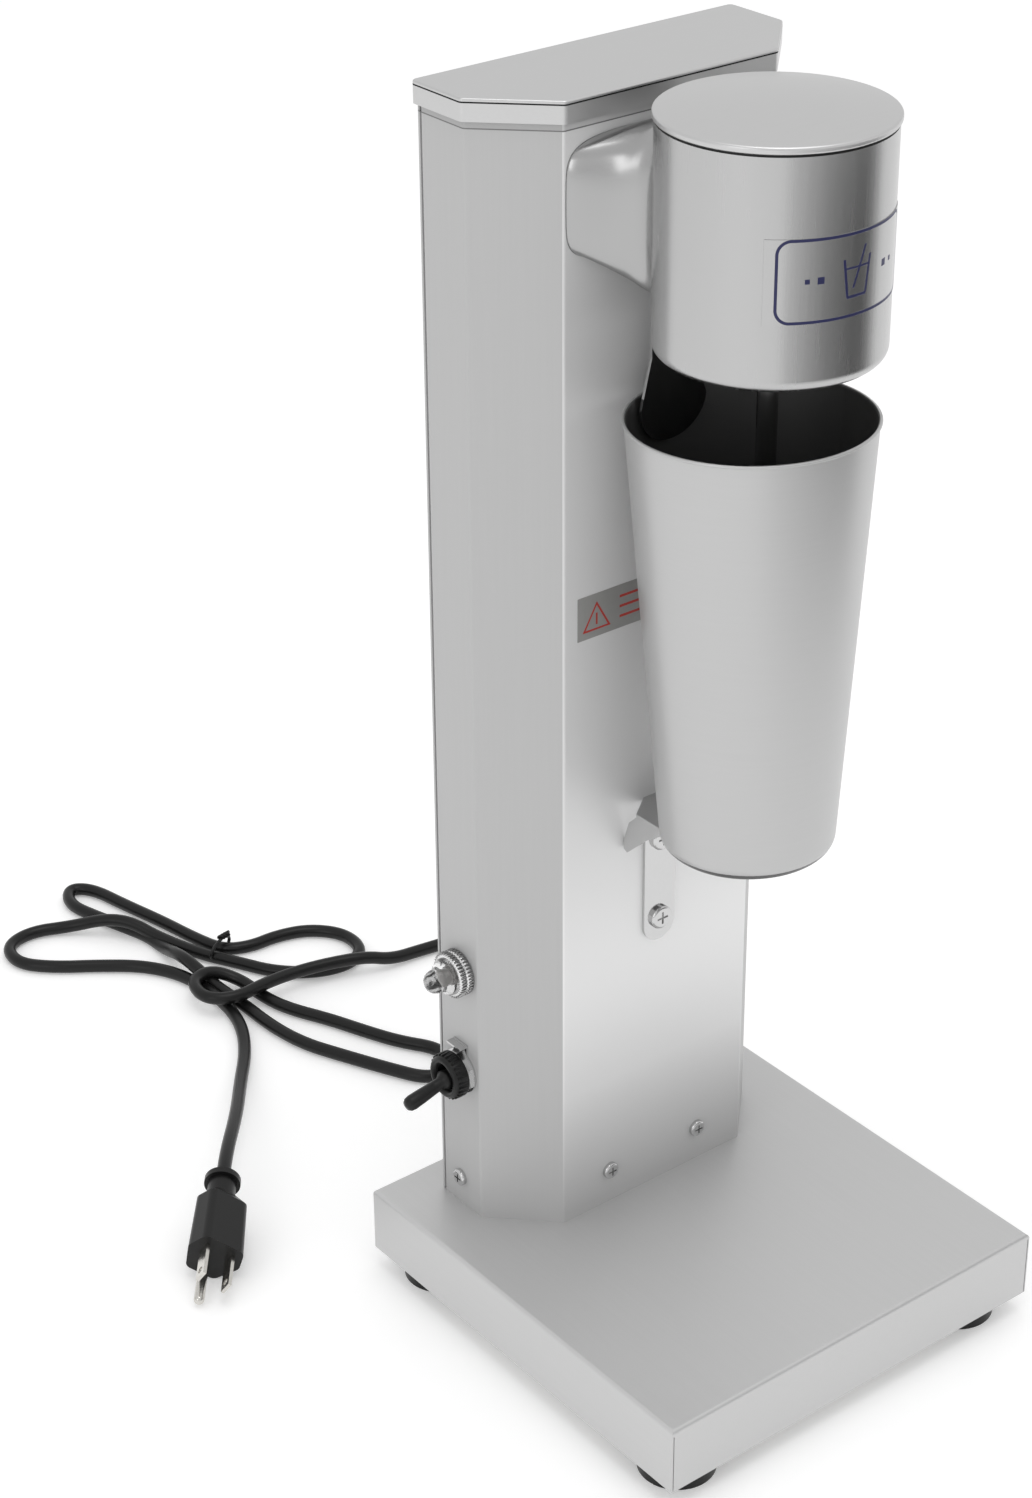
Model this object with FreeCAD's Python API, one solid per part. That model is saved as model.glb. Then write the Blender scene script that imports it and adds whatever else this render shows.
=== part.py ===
import FreeCAD, Part
import math
import os
from FreeCAD import Placement, Rotation, Vector

os.makedirs("parts", exist_ok=True)

# Millimetres. The origin is the centre of the base on the table, +Z up, and the front faces -Y.

# Base
base_size = 200.0
base_flange = 31.0
sheet = 1.0
bend_radius = 2.0
foot_height = 10.0
foot_radius = 17.0
foot_inset = 20.8
standoff_radius = 5.0
# Column
column_width = 150.0
column_face = 99.0
column_front = 30.0
column_back = 82.5
column_height = 492.4
return_flange = 12.0
cap_overhang = 1.8
cap_flange = 8.6
bracket_leg = 26.0
bracket_sheet = 2.0
front_screw_x = 24.5
foot_screw_z = 16.5
side_screw_y = 69.0
rear_screw_margin = 24.0
# Head
head_standoff = 13.5
head_radius = 43.0
head_drop = 89.1
head_wall = 1.2
head_corner = 5.0
lid_overhang = 0.8
lid_dome = 4.0
lid_rim = 2.6
lid_gap = 0.9
# Neck
neck_wall_width = 98.0
neck_wall_height = 41.0
neck_shoulder = 7.5
neck_middle_width = 73.0
neck_throat_width = 66.0
neck_throat_height = 63.0
neck_top_drop = 8.5
neck_sheet = 1.2
# Motor and spindle
shaft_radius = 4.0
spindle_length = 176.0
agitator_radius = 14.0
stator_radius = 31.0
stator_stack = 26.0
armature_radius = 16.0
bearing_outer = 11.0
bearing_width = 7.0
# Cup
cup_height = 179.5
cup_rim_radius = 48.0
cup_foot_radius = 34.3
cup_wall = 0.8
cup_bead = 0.7
cup_corner = 6.0
cup_lean = 1.6
cup_back_gap = 0.4
# Cup rest and guide
rim_drop = 29.0
shelf_width = 38.6
shelf_reach = 26.5
strap_width = 16.5
strap_drop = 62.0
rest_sheet = 1.5
rest_screw_low = 59.2
rest_screw_high = 21.1
guide_width = 32.0
guide_drop = 21.0
guide_sheet = 1.2
guide_gap = 6.0
guide_bend = 60.0
guide_x = -4.0
# Switch and lamp
panel_y = 67.0
switch_rise = 70.7
lamp_rise = 120.3
bushing_radius = 6.0
lever_rest_angle = 12.0
lever_length = 25.0
lever_radius = 3.4
# Cord
cord_radius = 3.2
cord_exit_x = 20.0
cord_exit_rise = 25.0
relief_length = 21.0
plug_roll = -35.6
plug_length = 47.0
plug_dip = 7.6
# Labels
sticker_x = (-43.0, 17.0)
sticker_drop = 215.4
sticker_height = 18.5
emblem_width = 63.0
emblem_height = 31.0
emblem_drop = 3.0
# Clearances
fit_gap = 0.05
free_gap = 0.3
screw_gap = 0.2

base_top = foot_height + base_flange
switch_z = base_top + switch_rise
lamp_z = base_top + lamp_rise
cord_exit = Vector(cord_exit_x, column_back, base_top + cord_exit_rise)
column_top = base_top + column_height
head_y = column_front - head_standoff - head_radius
cap_top = column_top + sheet
head_bottom = cap_top - head_drop
head_top = cap_top + 0.6
shelf_height = head_bottom - rim_drop - cup_height - free_gap
head_back = head_y + head_radius
spindle_bottom = head_bottom - spindle_length
half_chamfer = math.tan(math.radians(22.5))

parts = {}


def add(name, *solids):
    """Keep the closed solids of one sub-part under its node name."""
    flat = []
    for solid in solids:
        flat.extend(solid.Solids)
    parts[name] = flat


def fuse(first, *others):
    return first.fuse(list(others)).removeSplitter()


def cut(body, *tools):
    return body.cut(list(tools))


def box(x0, x1, y0, y1, z0, z1):
    return Part.makeBox(x1 - x0, y1 - y0, z1 - z0, Vector(x0, y0, z0))


def rod(radius, start, end):
    start, end = Vector(*start), Vector(*end)
    return Part.makeCylinder(radius, (end - start).Length, start, end - start)


def ring(outer, inner, start, end):
    return cut(rod(outer, start, end), rod(inner, start, end))


def cone(radius_start, radius_end, start, end):
    start, end = Vector(*start), Vector(*end)
    return Part.makeCone(radius_start, radius_end, (end - start).Length, start, end - start)


def hexagon(across_flats, start, direction, thickness):
    """A hex prism that starts at a point and runs along a direction."""
    radius = across_flats / math.sqrt(3)
    corners = [Vector(radius * math.cos(k * math.pi / 3), radius * math.sin(k * math.pi / 3), 0)
               for k in range(7)]
    prism = Part.Face(Part.makePolygon(corners)).extrude(Vector(0, 0, thickness))
    prism.Placement = Placement(Vector(*start), Rotation(Vector(0, 0, 1), Vector(*direction)))
    return prism


def rounded_wire(corners, radius):
    """A closed wire through the corners, with each corner turned by a tangent arc."""
    count = len(corners)
    ends = []
    for index, corner in enumerate(corners):
        before = (corners[index - 1] - corner).normalize()
        after = (corners[(index + 1) % count] - corner).normalize()
        half = before.getAngle(after) / 2
        reach = radius / math.tan(half)
        middle = (before + after).normalize()
        apex = corner + middle * (radius / math.sin(half) - radius)
        ends.append((corner + before * reach, apex, corner + after * reach))
    edges = []
    for index in range(count):
        start, apex, end = ends[index]
        edges.append(Part.Arc(start, apex, end).toShape())
        following = ends[(index + 1) % count][0]
        if (following - end).Length > 1e-6:
            edges.append(Part.LineSegment(end, following).toShape())
    return Part.Wire(edges)


def rounded_prism(corners, radius, direction):
    return Part.Face(rounded_wire(corners, radius)).extrude(direction)


def pan_screw(head_point, outward, length, shank=1.9, head=5.0, thickness=2.2):
    """A cross-slot pan-head screw. Its head's seat is at head_point, facing outward."""
    head_disc = Part.makeCylinder(head, thickness)
    crown = [edge for edge in head_disc.Edges if edge.Closed and edge.BoundBox.ZMin > thickness - 1e-3]
    head_disc = head_disc.makeFillet(0.55 * thickness, crown)
    half_slot, slot_width = 0.54 * head, 0.18 * head
    for turn in (0, 90):
        slot = Part.makeBox(2 * half_slot, slot_width, thickness,
                            Vector(-half_slot, -slot_width / 2, 0.45 * thickness))
        slot.rotate(Vector(0, 0, 0), Vector(0, 0, 1), turn)
        head_disc = head_disc.cut(slot)
    screw = head_disc.fuse(Part.makeCylinder(shank, length, Vector(0, 0, -length)))
    screw.Placement = Placement(Vector(*head_point), Rotation(Vector(0, 0, 1), Vector(*outward)))
    return screw


# Base -------------------------------------------------------------------------------------------
half_base = base_size / 2
foot_places = [(sx * (half_base - foot_inset), sy * (half_base - foot_inset))
               for sx in (-1, 1) for sy in (-1, 1)]


def base_block(inset, z0, z1):
    half = half_base - inset
    return box(-half, half, -half, half, z0, z1)


def make_base():
    outer = base_block(0, foot_height, base_top)
    edges = [edge for edge in outer.Edges if edge.BoundBox.ZMin > base_top - 1e-3]
    outer = outer.makeFillet(bend_radius, edges)
    inner = base_block(sheet, foot_height - 1, base_top - sheet)
    edges = [edge for edge in inner.Edges if edge.BoundBox.ZMin > base_top - sheet - 1e-3]
    inner = inner.makeFillet(bend_radius - sheet, edges)
    pan = cut(outer, inner)
    # The front and back flanges stop short of the side flanges, which leaves a fine seam at each corner.
    seam = 0.4
    for sx in (-1, 1):
        x0, x1 = sorted((sx * (half_base - sheet), sx * (half_base - sheet + seam)))
        for sy in (-1, 1):
            y0, y1 = sorted((sy * (half_base - sheet - 0.5), sy * (half_base + 1)))
            pan = cut(pan, box(x0, x1, y0, y1, foot_height - 1, base_top - bend_radius - 0.5))

    plate_top = foot_height + 3.0
    plate = base_block(sheet + free_gap, plate_top - 1.2, plate_top)
    feet, posts, screws = [], [], []
    for x, y in foot_places:
        plate = cut(plate, rod(2.2, (x, y, plate_top - 2), (x, y, plate_top + 1)))
        posts.append(ring(standoff_radius, 1.7, (x, y, plate_top), (x, y, base_top - sheet)))
        foot = cone(foot_radius - 0.6, foot_radius, (x, y, 0), (x, y, plate_top - 1.2))
        feet.append(cut(foot, rod(5.2, (x, y, -1), (x, y, 3.0)),
                        rod(2.2, (x, y, 2), (x, y, plate_top))))
        screws.append(pan_screw((x, y, 3.0), (0, 0, -1), 18.0, shank=1.65, head=4.4, thickness=2.2))
    add("base_bottom_plate", plate)
    add("base_pan", fuse(pan, *posts))
    add("rubber_feet", *feet)
    add("foot_screws", *screws)


# Column -----------------------------------------------------------------------------------------
shell_back = column_back - sheet
inside_y = (column_front + shell_back) / 2
rear_screw_x = column_width / 2 - return_flange / 2


def column_corners(inset, z, back):
    """The column's plan outline, moved inward by inset."""
    side = column_width / 2 - inset
    front = column_front + inset
    face = column_face / 2 - inset * half_chamfer
    chamfer_back = column_front + (column_width - column_face) / 2 + inset * half_chamfer
    return [Vector(-side, back, z), Vector(-side, chamfer_back, z), Vector(-face, front, z),
            Vector(face, front, z), Vector(side, chamfer_back, z), Vector(side, back, z)]


def column_prism(inset, back, z0, z1, radius):
    return rounded_prism(column_corners(inset, z0, back), radius, Vector(0, 0, z1 - z0))


arm_bolts_at = [(sx * 17.0, sz * 13.0) for sx in (-1, 1) for sz in (-1, 1)]
arm_z = cap_top - neck_top_drop - neck_shoulder - neck_wall_height / 2
rest_screws_z = [shelf_height - rest_screw_low, shelf_height - rest_screw_high]
rear_screws_z = [base_top + rear_screw_margin, base_top + column_height / 2,
                 column_top - rear_screw_margin]


def make_column():
    shell = cut(column_prism(0, shell_back, base_top, column_top, bend_radius),
                column_prism(sheet, shell_back - sheet, base_top - 1, column_top + 1,
                             bend_radius - sheet))
    opening = column_width / 2 - return_flange
    shell = cut(shell, box(-opening, opening, shell_back - sheet - 1, shell_back + 1,
                           base_top - 1, column_top + 1))
    front = column_front
    holes = []
    for x, z in arm_bolts_at:
        holes.append(rod(2.7, (x, front - 2, arm_z + z), (x, front + 3, arm_z + z)))
    for z in rest_screws_z:
        holes.append(rod(2.1, (0, front - 2, z), (0, front + 3, z)))
    for x in (-front_screw_x, front_screw_x):
        z = base_top + foot_screw_z
        holes.append(rod(2.1, (x, front - 2, z), (x, front + 3, z)))
    holes.append(rod(6.5, (0, front - 2, arm_z), (0, front + 3, arm_z)))
    side = column_width / 2
    for sx in (-1, 1):
        z = base_top + foot_screw_z - 2.8
        holes.append(rod(2.1, (sx * (side - 3), side_screw_y, z), (sx * (side + 2), side_screw_y, z)))
        for z in rear_screws_z:
            holes.append(rod(1.5, (sx * rear_screw_x, shell_back - 3, z),
                             (sx * rear_screw_x, shell_back + 2, z)))
    for z in (switch_z, lamp_z):
        holes.append(rod(bushing_radius + screw_gap, (-side - 2, panel_y, z), (-side + 3, panel_y, z)))
    add("column_shell", cut(shell, *holes))

    cover = box(-side + 0.2, side - 0.2, shell_back, column_back, base_top + 0.3, column_top - 0.3)
    cover_holes = [rod(1.9, (sx * rear_screw_x, shell_back - 1, z), (sx * rear_screw_x, column_back + 1, z))
                   for sx in (-1, 1) for z in rear_screws_z]
    cover_holes.append(rod(relief_neck + 0.1, (cord_exit.x, shell_back - 1, cord_exit.z),
                           (cord_exit.x, column_back + 1, cord_exit.z)))
    for row in range(8):
        z = column_top - 60 - row * 9
        cover_holes.append(box(-32, 32, shell_back - 1, column_back + 1, z, z + 3))
    add("rear_cover", cut(cover, *cover_holes))
    add("rear_cover_screws", *[pan_screw((sx * rear_screw_x, column_back, z), (0, 1, 0), 7.0,
                                         shank=1.4, head=3.6, thickness=2.2)
                               for sx in (-1, 1) for z in rear_screws_z])

    outer = cut(column_prism(-cap_overhang, column_back + cap_overhang, cap_top - cap_flange, cap_top, 2.5),
                column_prism(sheet - cap_overhang, column_back + cap_overhang - sheet,
                             cap_top - cap_flange - 1, column_top, 1.6))
    rim = [edge for edge in outer.Edges if edge.BoundBox.ZMin > cap_top - 1e-3]
    add("top_cap", outer.makeFillet(0.8, rim))


def make_base_brackets():
    """Angles inside the column's foot: one behind the front face, one behind each side."""
    thick = bracket_sheet
    inside = column_front + sheet
    leg = box(-38, 38, inside, inside + thick, base_top, base_top + bracket_leg)
    foot = box(-38, 38, inside, inside + 20, base_top, base_top + thick)
    front = fuse(leg, foot)
    z = base_top + foot_screw_z
    bolts = []
    for x in (-front_screw_x, front_screw_x):
        front = cut(front, rod(1.9 + screw_gap, (x, inside - 1, z), (x, inside + 4, z)))
        y = inside + 13
        front = cut(front, rod(1.9 + screw_gap, (x, y, base_top - 1), (x, y, base_top + 4)))
        bolts.append((x, y))
    side = column_width / 2 - sheet
    pieces = [front]
    z = base_top + foot_screw_z - 2.8
    for sx in (-1, 1):
        x0, x1 = sorted((sx * side, sx * (side - thick)))
        leg = box(x0, x1, 60, 78, base_top, base_top + 24)
        f0, f1 = sorted((sx * side, sx * (side - 20)))
        foot = box(f0, f1, 60, 78, base_top, base_top + thick)
        angle = fuse(leg, foot)
        angle = cut(angle, rod(1.9 + screw_gap, (sx * (side - 4), side_screw_y, z),
                               (sx * (side + 1), side_screw_y, z)))
        x = sx * (side - 12)
        angle = cut(angle, rod(1.9 + screw_gap, (x, side_screw_y, base_top - 1),
                               (x, side_screw_y, base_top + 4)))
        bolts.append((x, side_screw_y))
        pieces.append(angle)
    add("column_brackets", *pieces)
    seats = [((x, column_front, base_top + foot_screw_z), (0, -1, 0))
             for x in (-front_screw_x, front_screw_x)]
    seats += [((sx * column_width / 2, side_screw_y, z), (sx, 0, 0)) for sx in (-1, 1)]
    seats += [((x, y, base_top + thick), (0, 0, 1)) for x, y in bolts]
    add("column_screws", *[pan_screw(seat, outward, 8.0, head=3.8, thickness=2.2)
                           for seat, outward in seats])
    pan = parts["base_pan"][0]
    for x, y in bolts:
        pan = cut(pan, rod(1.9 + screw_gap, (x, y, base_top - 3), (x, y, base_top + 1)))
    add("base_pan", pan)
    return [((x, y, base_top - sheet), (0, 0, -1)) for x, y in bolts]


# Head -------------------------------------------------------------------------------------------
def head_profile(radius, bottom, top, corner):
    """Half section of a round-cornered can: an open top, a flat floor."""
    centre = Vector(radius - corner, 0, bottom + corner)
    bend = Part.Arc(Vector(radius - corner, 0, bottom),
                    centre + Vector(corner * math.sin(math.pi / 4), 0, -corner * math.cos(math.pi / 4)),
                    Vector(radius, 0, bottom + corner)).toShape()
    wire = Part.Wire([Part.makeLine(Vector(0, 0, bottom), Vector(radius - corner, 0, bottom)), bend,
                      Part.makeLine(Vector(radius, 0, bottom + corner), Vector(radius, 0, top)),
                      Part.makeLine(Vector(radius, 0, top), Vector(0, 0, top)),
                      Part.makeLine(Vector(0, 0, top), Vector(0, 0, bottom))])
    can = Part.Face(wire).revolve(Vector(0, 0, 0), Vector(0, 0, 1), 360)
    can.translate(Vector(0, head_y, 0))
    return can


arm_half = 17.0
head_screws_at = [(sx * 12.0, sz * 13.0) for sx in (-1, 1) for sz in (-1, 1)]


def make_head():
    wall_top = head_top - lid_rim - lid_gap
    can = cut(head_profile(head_radius, head_bottom, wall_top, head_corner),
              head_profile(head_radius - head_wall, head_bottom + head_wall, wall_top + 1,
                           head_corner - head_wall))
    holes = [rod(9.0, (0, head_y, head_bottom - 1), (0, head_y, head_bottom + 3)),
             rod(6.5, (0, head_back - 13, arm_z), (0, head_back + 2, arm_z))]
    for x, z in head_screws_at:
        holes.append(rod(2.2, (x, head_back - 13, arm_z + z), (x, head_back + 2, arm_z + z)))
    add("motor_housing", cut(can, *holes))

    lid_radius = head_radius + lid_overhang
    rise = lid_dome
    dome_radius = (lid_radius ** 2 + rise ** 2) / (2 * rise)
    edge_z = head_top
    ball = Part.makeSphere(dome_radius, Vector(0, head_y, edge_z + rise - dome_radius))
    skirt = rod(lid_radius, (0, head_y, edge_z - lid_rim), (0, head_y, edge_z + rise))
    lid = skirt.common(ball)
    inner = Part.makeSphere(dome_radius - sheet, Vector(0, head_y, edge_z + rise - dome_radius))
    hollow = rod(lid_radius - 1.4, on_axis(edge_z - lid_rim - 1), on_axis(edge_z + rise)).common(inner)
    lid = cut(lid, hollow)
    corner = [edge for edge in lid.Edges
              if edge.Closed and abs(edge.BoundBox.XLength - 2 * lid_radius) < 1e-3]
    add("motor_lid", lid.makeFillet(1.0, corner))
    seal_out = head_radius - head_wall
    add("lid_gasket", ring(head_radius - 0.5, seal_out - 1.6, on_axis(wall_top), on_axis(edge_z - lid_rim)))


def neck_section(y, width, z0, z1, radius):
    half = width / 2
    corners = [Vector(-half, y, z0), Vector(half, y, z0), Vector(half, y, z1), Vector(-half, y, z1)]
    return rounded_wire(corners, radius)


def neck_loft(inset, y_extra):
    wall_bottom = arm_z - neck_wall_height / 2
    throat_bottom = cap_top - neck_top_drop - neck_throat_height
    middle_bottom = throat_bottom + 3.5
    wires = [neck_section(column_front + y_extra, neck_wall_width - 2 * inset, wall_bottom + inset,
                          wall_bottom + neck_wall_height - inset, 9.0 - inset),
             neck_section(column_front - 15, neck_middle_width - 2 * inset, middle_bottom + inset,
                          cap_top - neck_top_drop - 1.0 - inset, 15.0 - inset),
             neck_section(head_back - 19 - y_extra, neck_throat_width - 2 * inset, throat_bottom + inset,
                          cap_top - neck_top_drop - inset, 16.0 - inset)]
    return Part.makeLoft(wires, True, False)


def make_neck():
    head_gap = rod(head_radius + 0.02, (0, head_y, head_bottom - 5), (0, head_y, cap_top + 9))
    add("neck_housing", cut(neck_loft(0, 0), neck_loft(neck_sheet, 1.0), head_gap))

    arm = box(-22, 22, head_back - 7, column_front, arm_z - arm_half, arm_z + arm_half)
    arm = arm.cut(head_gap)
    cavity = rod(6.5, (0, head_y, arm_z), (0, column_front + 1, arm_z))
    tools = [cavity]
    for x, z in head_screws_at:
        tools.append(rod(2.0, (x, head_back - 13, arm_z + z), (x, head_back + 11, arm_z + z)))
    for x, z in arm_bolts_at:
        tools.append(rod(2.5, (x, column_front - 10, arm_z + z), (x, column_front + 1, arm_z + z)))
    add("neck_arm", cut(arm, *tools))
    inside = column_front + sheet
    plate = box(-32, 32, inside, inside + 3, arm_z - 24, arm_z + 24)
    plate = cut(plate, rod(6.5, (0, inside - 1, arm_z), (0, inside + 4, arm_z)),
                *[rod(2.7, (x, inside - 1, arm_z + z), (x, inside + 4, arm_z + z))
                  for x, z in arm_bolts_at])
    add("neck_backing_plate", plate)
    add("neck_bolts", *[fuse(hexagon(8.0, (x, inside + 3, arm_z + z), (0, 1, 0), 3.5),
                             rod(2.45, (x, column_front - 9, arm_z + z), (x, inside + 3, arm_z + z)))
                        for x, z in arm_bolts_at])
    screws = []
    for x, z in head_screws_at:
        seat = head_y + math.sqrt((head_radius - head_wall) ** 2 - (abs(x) + 3.4) ** 2)
        screws.append(pan_screw((x, seat, arm_z + z), (0, -1, 0), 12.0, head=3.4, thickness=2.0))
    add("housing_screws", *screws)


# Motor ------------------------------------------------------------------------------------------
floor = head_bottom + head_wall
stator_z = floor + 24.0
stator_top = stator_z + stator_stack
commutator_z = stator_top + 5.0
upper_z = stator_top + 18.0
post_radius = 26.5


def at(radius, angle, z):
    return (radius * math.cos(math.radians(angle)), head_y + radius * math.sin(math.radians(angle)), z)


def on_axis(z):
    return (0, head_y, z)


def make_motor():
    post_angles = (45, 135, 225, 315)
    lower = rod(post_radius + 4.0, on_axis(floor), on_axis(floor + 2.5))
    lower = fuse(lower, rod(bearing_outer + 3, on_axis(floor), on_axis(floor + 10)))
    lower = cut(lower, rod(bearing_outer, on_axis(floor + 10 - bearing_width), on_axis(floor + 11)),
                rod(9.0, on_axis(floor - 1), on_axis(floor + 11)))
    for angle in post_angles:
        lower = fuse(lower, rod(3.2, at(post_radius, angle, floor), at(post_radius, angle, stator_z)))
    add("lower_bearing_bracket", lower)
    lower_bearing_z = floor + 10 - bearing_width
    bearings = [ring(bearing_outer, shaft_radius + fit_gap, on_axis(z), on_axis(z + bearing_width))
                for z in (lower_bearing_z, upper_z)]
    add("motor_bearings", *bearings)

    stator = rod(stator_radius, on_axis(stator_z), on_axis(stator_top))
    stator = cut(stator, rod(armature_radius + 0.6, on_axis(stator_z - 1), on_axis(stator_top + 1)))
    windows = []
    for angle in (0, 180):
        slot = cut(rod(stator_radius - 6, on_axis(stator_z - 1), on_axis(stator_top + 1)),
                   rod(armature_radius + 3.5, on_axis(stator_z - 1), on_axis(stator_top + 1)))
        reach = 1 if angle == 0 else -1
        x0, x1 = sorted((reach * 4, reach * 40))
        windows.append(slot.common(box(x0, x1, head_y - 15, head_y + 15, stator_z - 1, stator_top + 1)))
    stator = cut(stator, *windows)
    for angle in post_angles:
        stator = cut(stator, rod(1.9, at(post_radius, angle, stator_z - 1),
                                 at(post_radius, angle, stator_top + 1)))
    add("stator_core", stator)
    coils = []
    for side in (1, -1):
        inner = cut(rod(stator_radius - 6.4, on_axis(stator_z - 3.5), on_axis(stator_top + 3.5)),
                    rod(armature_radius + 3.9, on_axis(stator_z - 3.5), on_axis(stator_top + 3.5)))
        x0, x1 = sorted((side * 4, side * 40))
        coils.append(inner.common(box(x0, x1, head_y - 14.5, head_y + 14.5, stator_z - 4, stator_top + 4)))
    add("field_coils", *coils)

    upper = rod(34.0, on_axis(upper_z), on_axis(upper_z + 2.5))
    upper = fuse(upper, rod(bearing_outer + 3, on_axis(upper_z), on_axis(upper_z + 9)))
    upper = cut(upper, rod(bearing_outer, on_axis(upper_z - 1), on_axis(upper_z + bearing_width)),
                *[box(-6, 6, head_y + offset - 6, head_y + offset + 6, upper_z - 1, upper_z + 4)
                  for offset in (-24, 24)])
    for angle in post_angles:
        upper = fuse(upper, rod(3.2, at(post_radius, angle, stator_top), at(post_radius, angle, upper_z)))
        upper = cut(upper, rod(1.9, at(post_radius, angle, stator_top - 1),
                               at(post_radius, angle, upper_z + 4)))
    add("upper_bearing_bracket", upper)
    add("motor_through_bolts", *[pan_screw(at(post_radius, angle, upper_z + 2.5), (0, 0, 1),
                                           upper_z + 2.5 - stator_z, shank=1.7, head=3.2, thickness=2.0)
                                 for angle in post_angles])

    core = rod(armature_radius, on_axis(stator_z + 0.5), on_axis(stator_top - 0.5))
    slots = 12
    for k in range(slots):
        slot = box(armature_radius - 3.2, armature_radius + 1, -0.8, 0.8, stator_z - 1, stator_top + 1)
        slot.rotate(Vector(0, 0, 0), Vector(0, 0, 1), 360 / slots * k)
        slot.translate(Vector(0, head_y, 0))
        core = cut(core, slot)
    add("armature_core", cut(core, rod(shaft_radius, on_axis(stator_z), on_axis(stator_top))))
    lower_winding = ring(13.5, shaft_radius, on_axis(stator_z - 4.5), on_axis(stator_z + 0.5))
    upper_winding = ring(12.5, shaft_radius, on_axis(stator_top - 0.5), on_axis(stator_top + 3.0))
    add("armature_winding", lower_winding, upper_winding)
    commutator = ring(9.0, shaft_radius, on_axis(commutator_z), on_axis(commutator_z + 10.5))
    for k in range(slots):
        slit = box(7.6, 10, -0.25, 0.25, commutator_z - 1, commutator_z + 12)
        slit.rotate(Vector(0, 0, 0), Vector(0, 0, 1), 360 / slots * (k + 0.5))
        slit.translate(Vector(0, head_y, 0))
        commutator = cut(commutator, slit)
    add("commutator", commutator)
    fan_z = floor + 11.0
    hub = ring(7.5, shaft_radius, on_axis(fan_z), on_axis(fan_z + 7))
    fan_radius = post_radius - 3.2 - 1.5
    fan = fuse(hub, ring(fan_radius, 7.4, on_axis(fan_z), on_axis(fan_z + 1.2)))
    for k in range(9):
        blade = box(7.0, fan_radius - 0.5, -0.6, 0.6, fan_z, fan_z + 6)
        blade.rotate(Vector(0, 0, 0), Vector(0, 0, 1), 40 * k)
        blade.translate(Vector(0, head_y, 0))
        fan = fan.fuse(blade)
    add("cooling_fan", fan.removeSplitter())
    brushes, holders = [], []
    brush_z = commutator_z + 5.2
    for side in (-1, 1):
        x0, x1 = sorted((side * (9.0 + free_gap), side * 21.0))
        brushes.append(box(x0, x1, head_y - 2.5, head_y + 2.5, brush_z - 2.0, brush_z + 2.0))
        h0, h1 = sorted((side * 11.5, side * 25.0))
        tube = box(h0, h1, head_y - 4.2, head_y + 4.2, brush_z - 3.4, upper_z)
        b0, b1 = sorted((side * 11.0, side * 23.0))
        holders.append(cut(tube, box(b0, b1, head_y - 2.6, head_y + 2.6, brush_z - 2.1, brush_z + 2.1)))
    add("brushes", *brushes)
    add("brush_holders", *holders)


# Spindle ----------------------------------------------------------------------------------------
shaft_joint = head_bottom - 6.0


def agitator(z, radius, lobes, hub):
    """A thin disc with alternate tabs bent up and down round its edge."""
    disc = ring(radius * 0.8, shaft_radius, on_axis(z), on_axis(z + 1.2))
    body = fuse(disc, ring(hub, shaft_radius, on_axis(z), on_axis(z + 5)))
    for k in range(lobes):
        tilt = 24 if k % 2 else -24
        tab = Part.makeBox(radius * 0.42, radius * 0.55, 1.2, Vector(0, -radius * 0.275, 0))
        tab.rotate(Vector(0, 0, 0.6), Vector(0, 1, 0), tilt)
        tab.translate(Vector(radius * 0.62, 0, z))
        tab.rotate(Vector(0, 0, 0), Vector(0, 0, 1), 360 / lobes * k)
        tab.translate(Vector(0, head_y, 0))
        body = body.fuse(tab)
    keep = rod(radius, on_axis(z - 12), on_axis(z + 12))
    return body.common(keep).removeSplitter()


def make_spindle():
    stud = 9.0
    add("motor_shaft", fuse(rod(shaft_radius, on_axis(shaft_joint), on_axis(upper_z + 6.5)),
                            rod(2.4, on_axis(shaft_joint - stud), on_axis(shaft_joint))))
    add("spindle_shaft", cut(rod(shaft_radius, on_axis(spindle_bottom), on_axis(shaft_joint)),
                             rod(2.4, on_axis(shaft_joint - stud), on_axis(shaft_joint + 1))))
    lip = shaft_radius + free_gap
    add("spindle_seal", fuse(ring(9.0, lip, on_axis(head_bottom - 0.8), on_axis(floor)),
                             ring(11.0, lip, on_axis(head_bottom - 0.8), on_axis(head_bottom))))
    add("agitator_discs", *[agitator(spindle_bottom + height, agitator_radius, 6, 6.5)
                            for height in (2.0, 38.0)])


# Cup --------------------------------------------------------------------------------------------
cup_rim_y = column_front - cup_rim_radius - cup_back_gap
cup_base_z = shelf_height + free_gap


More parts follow.
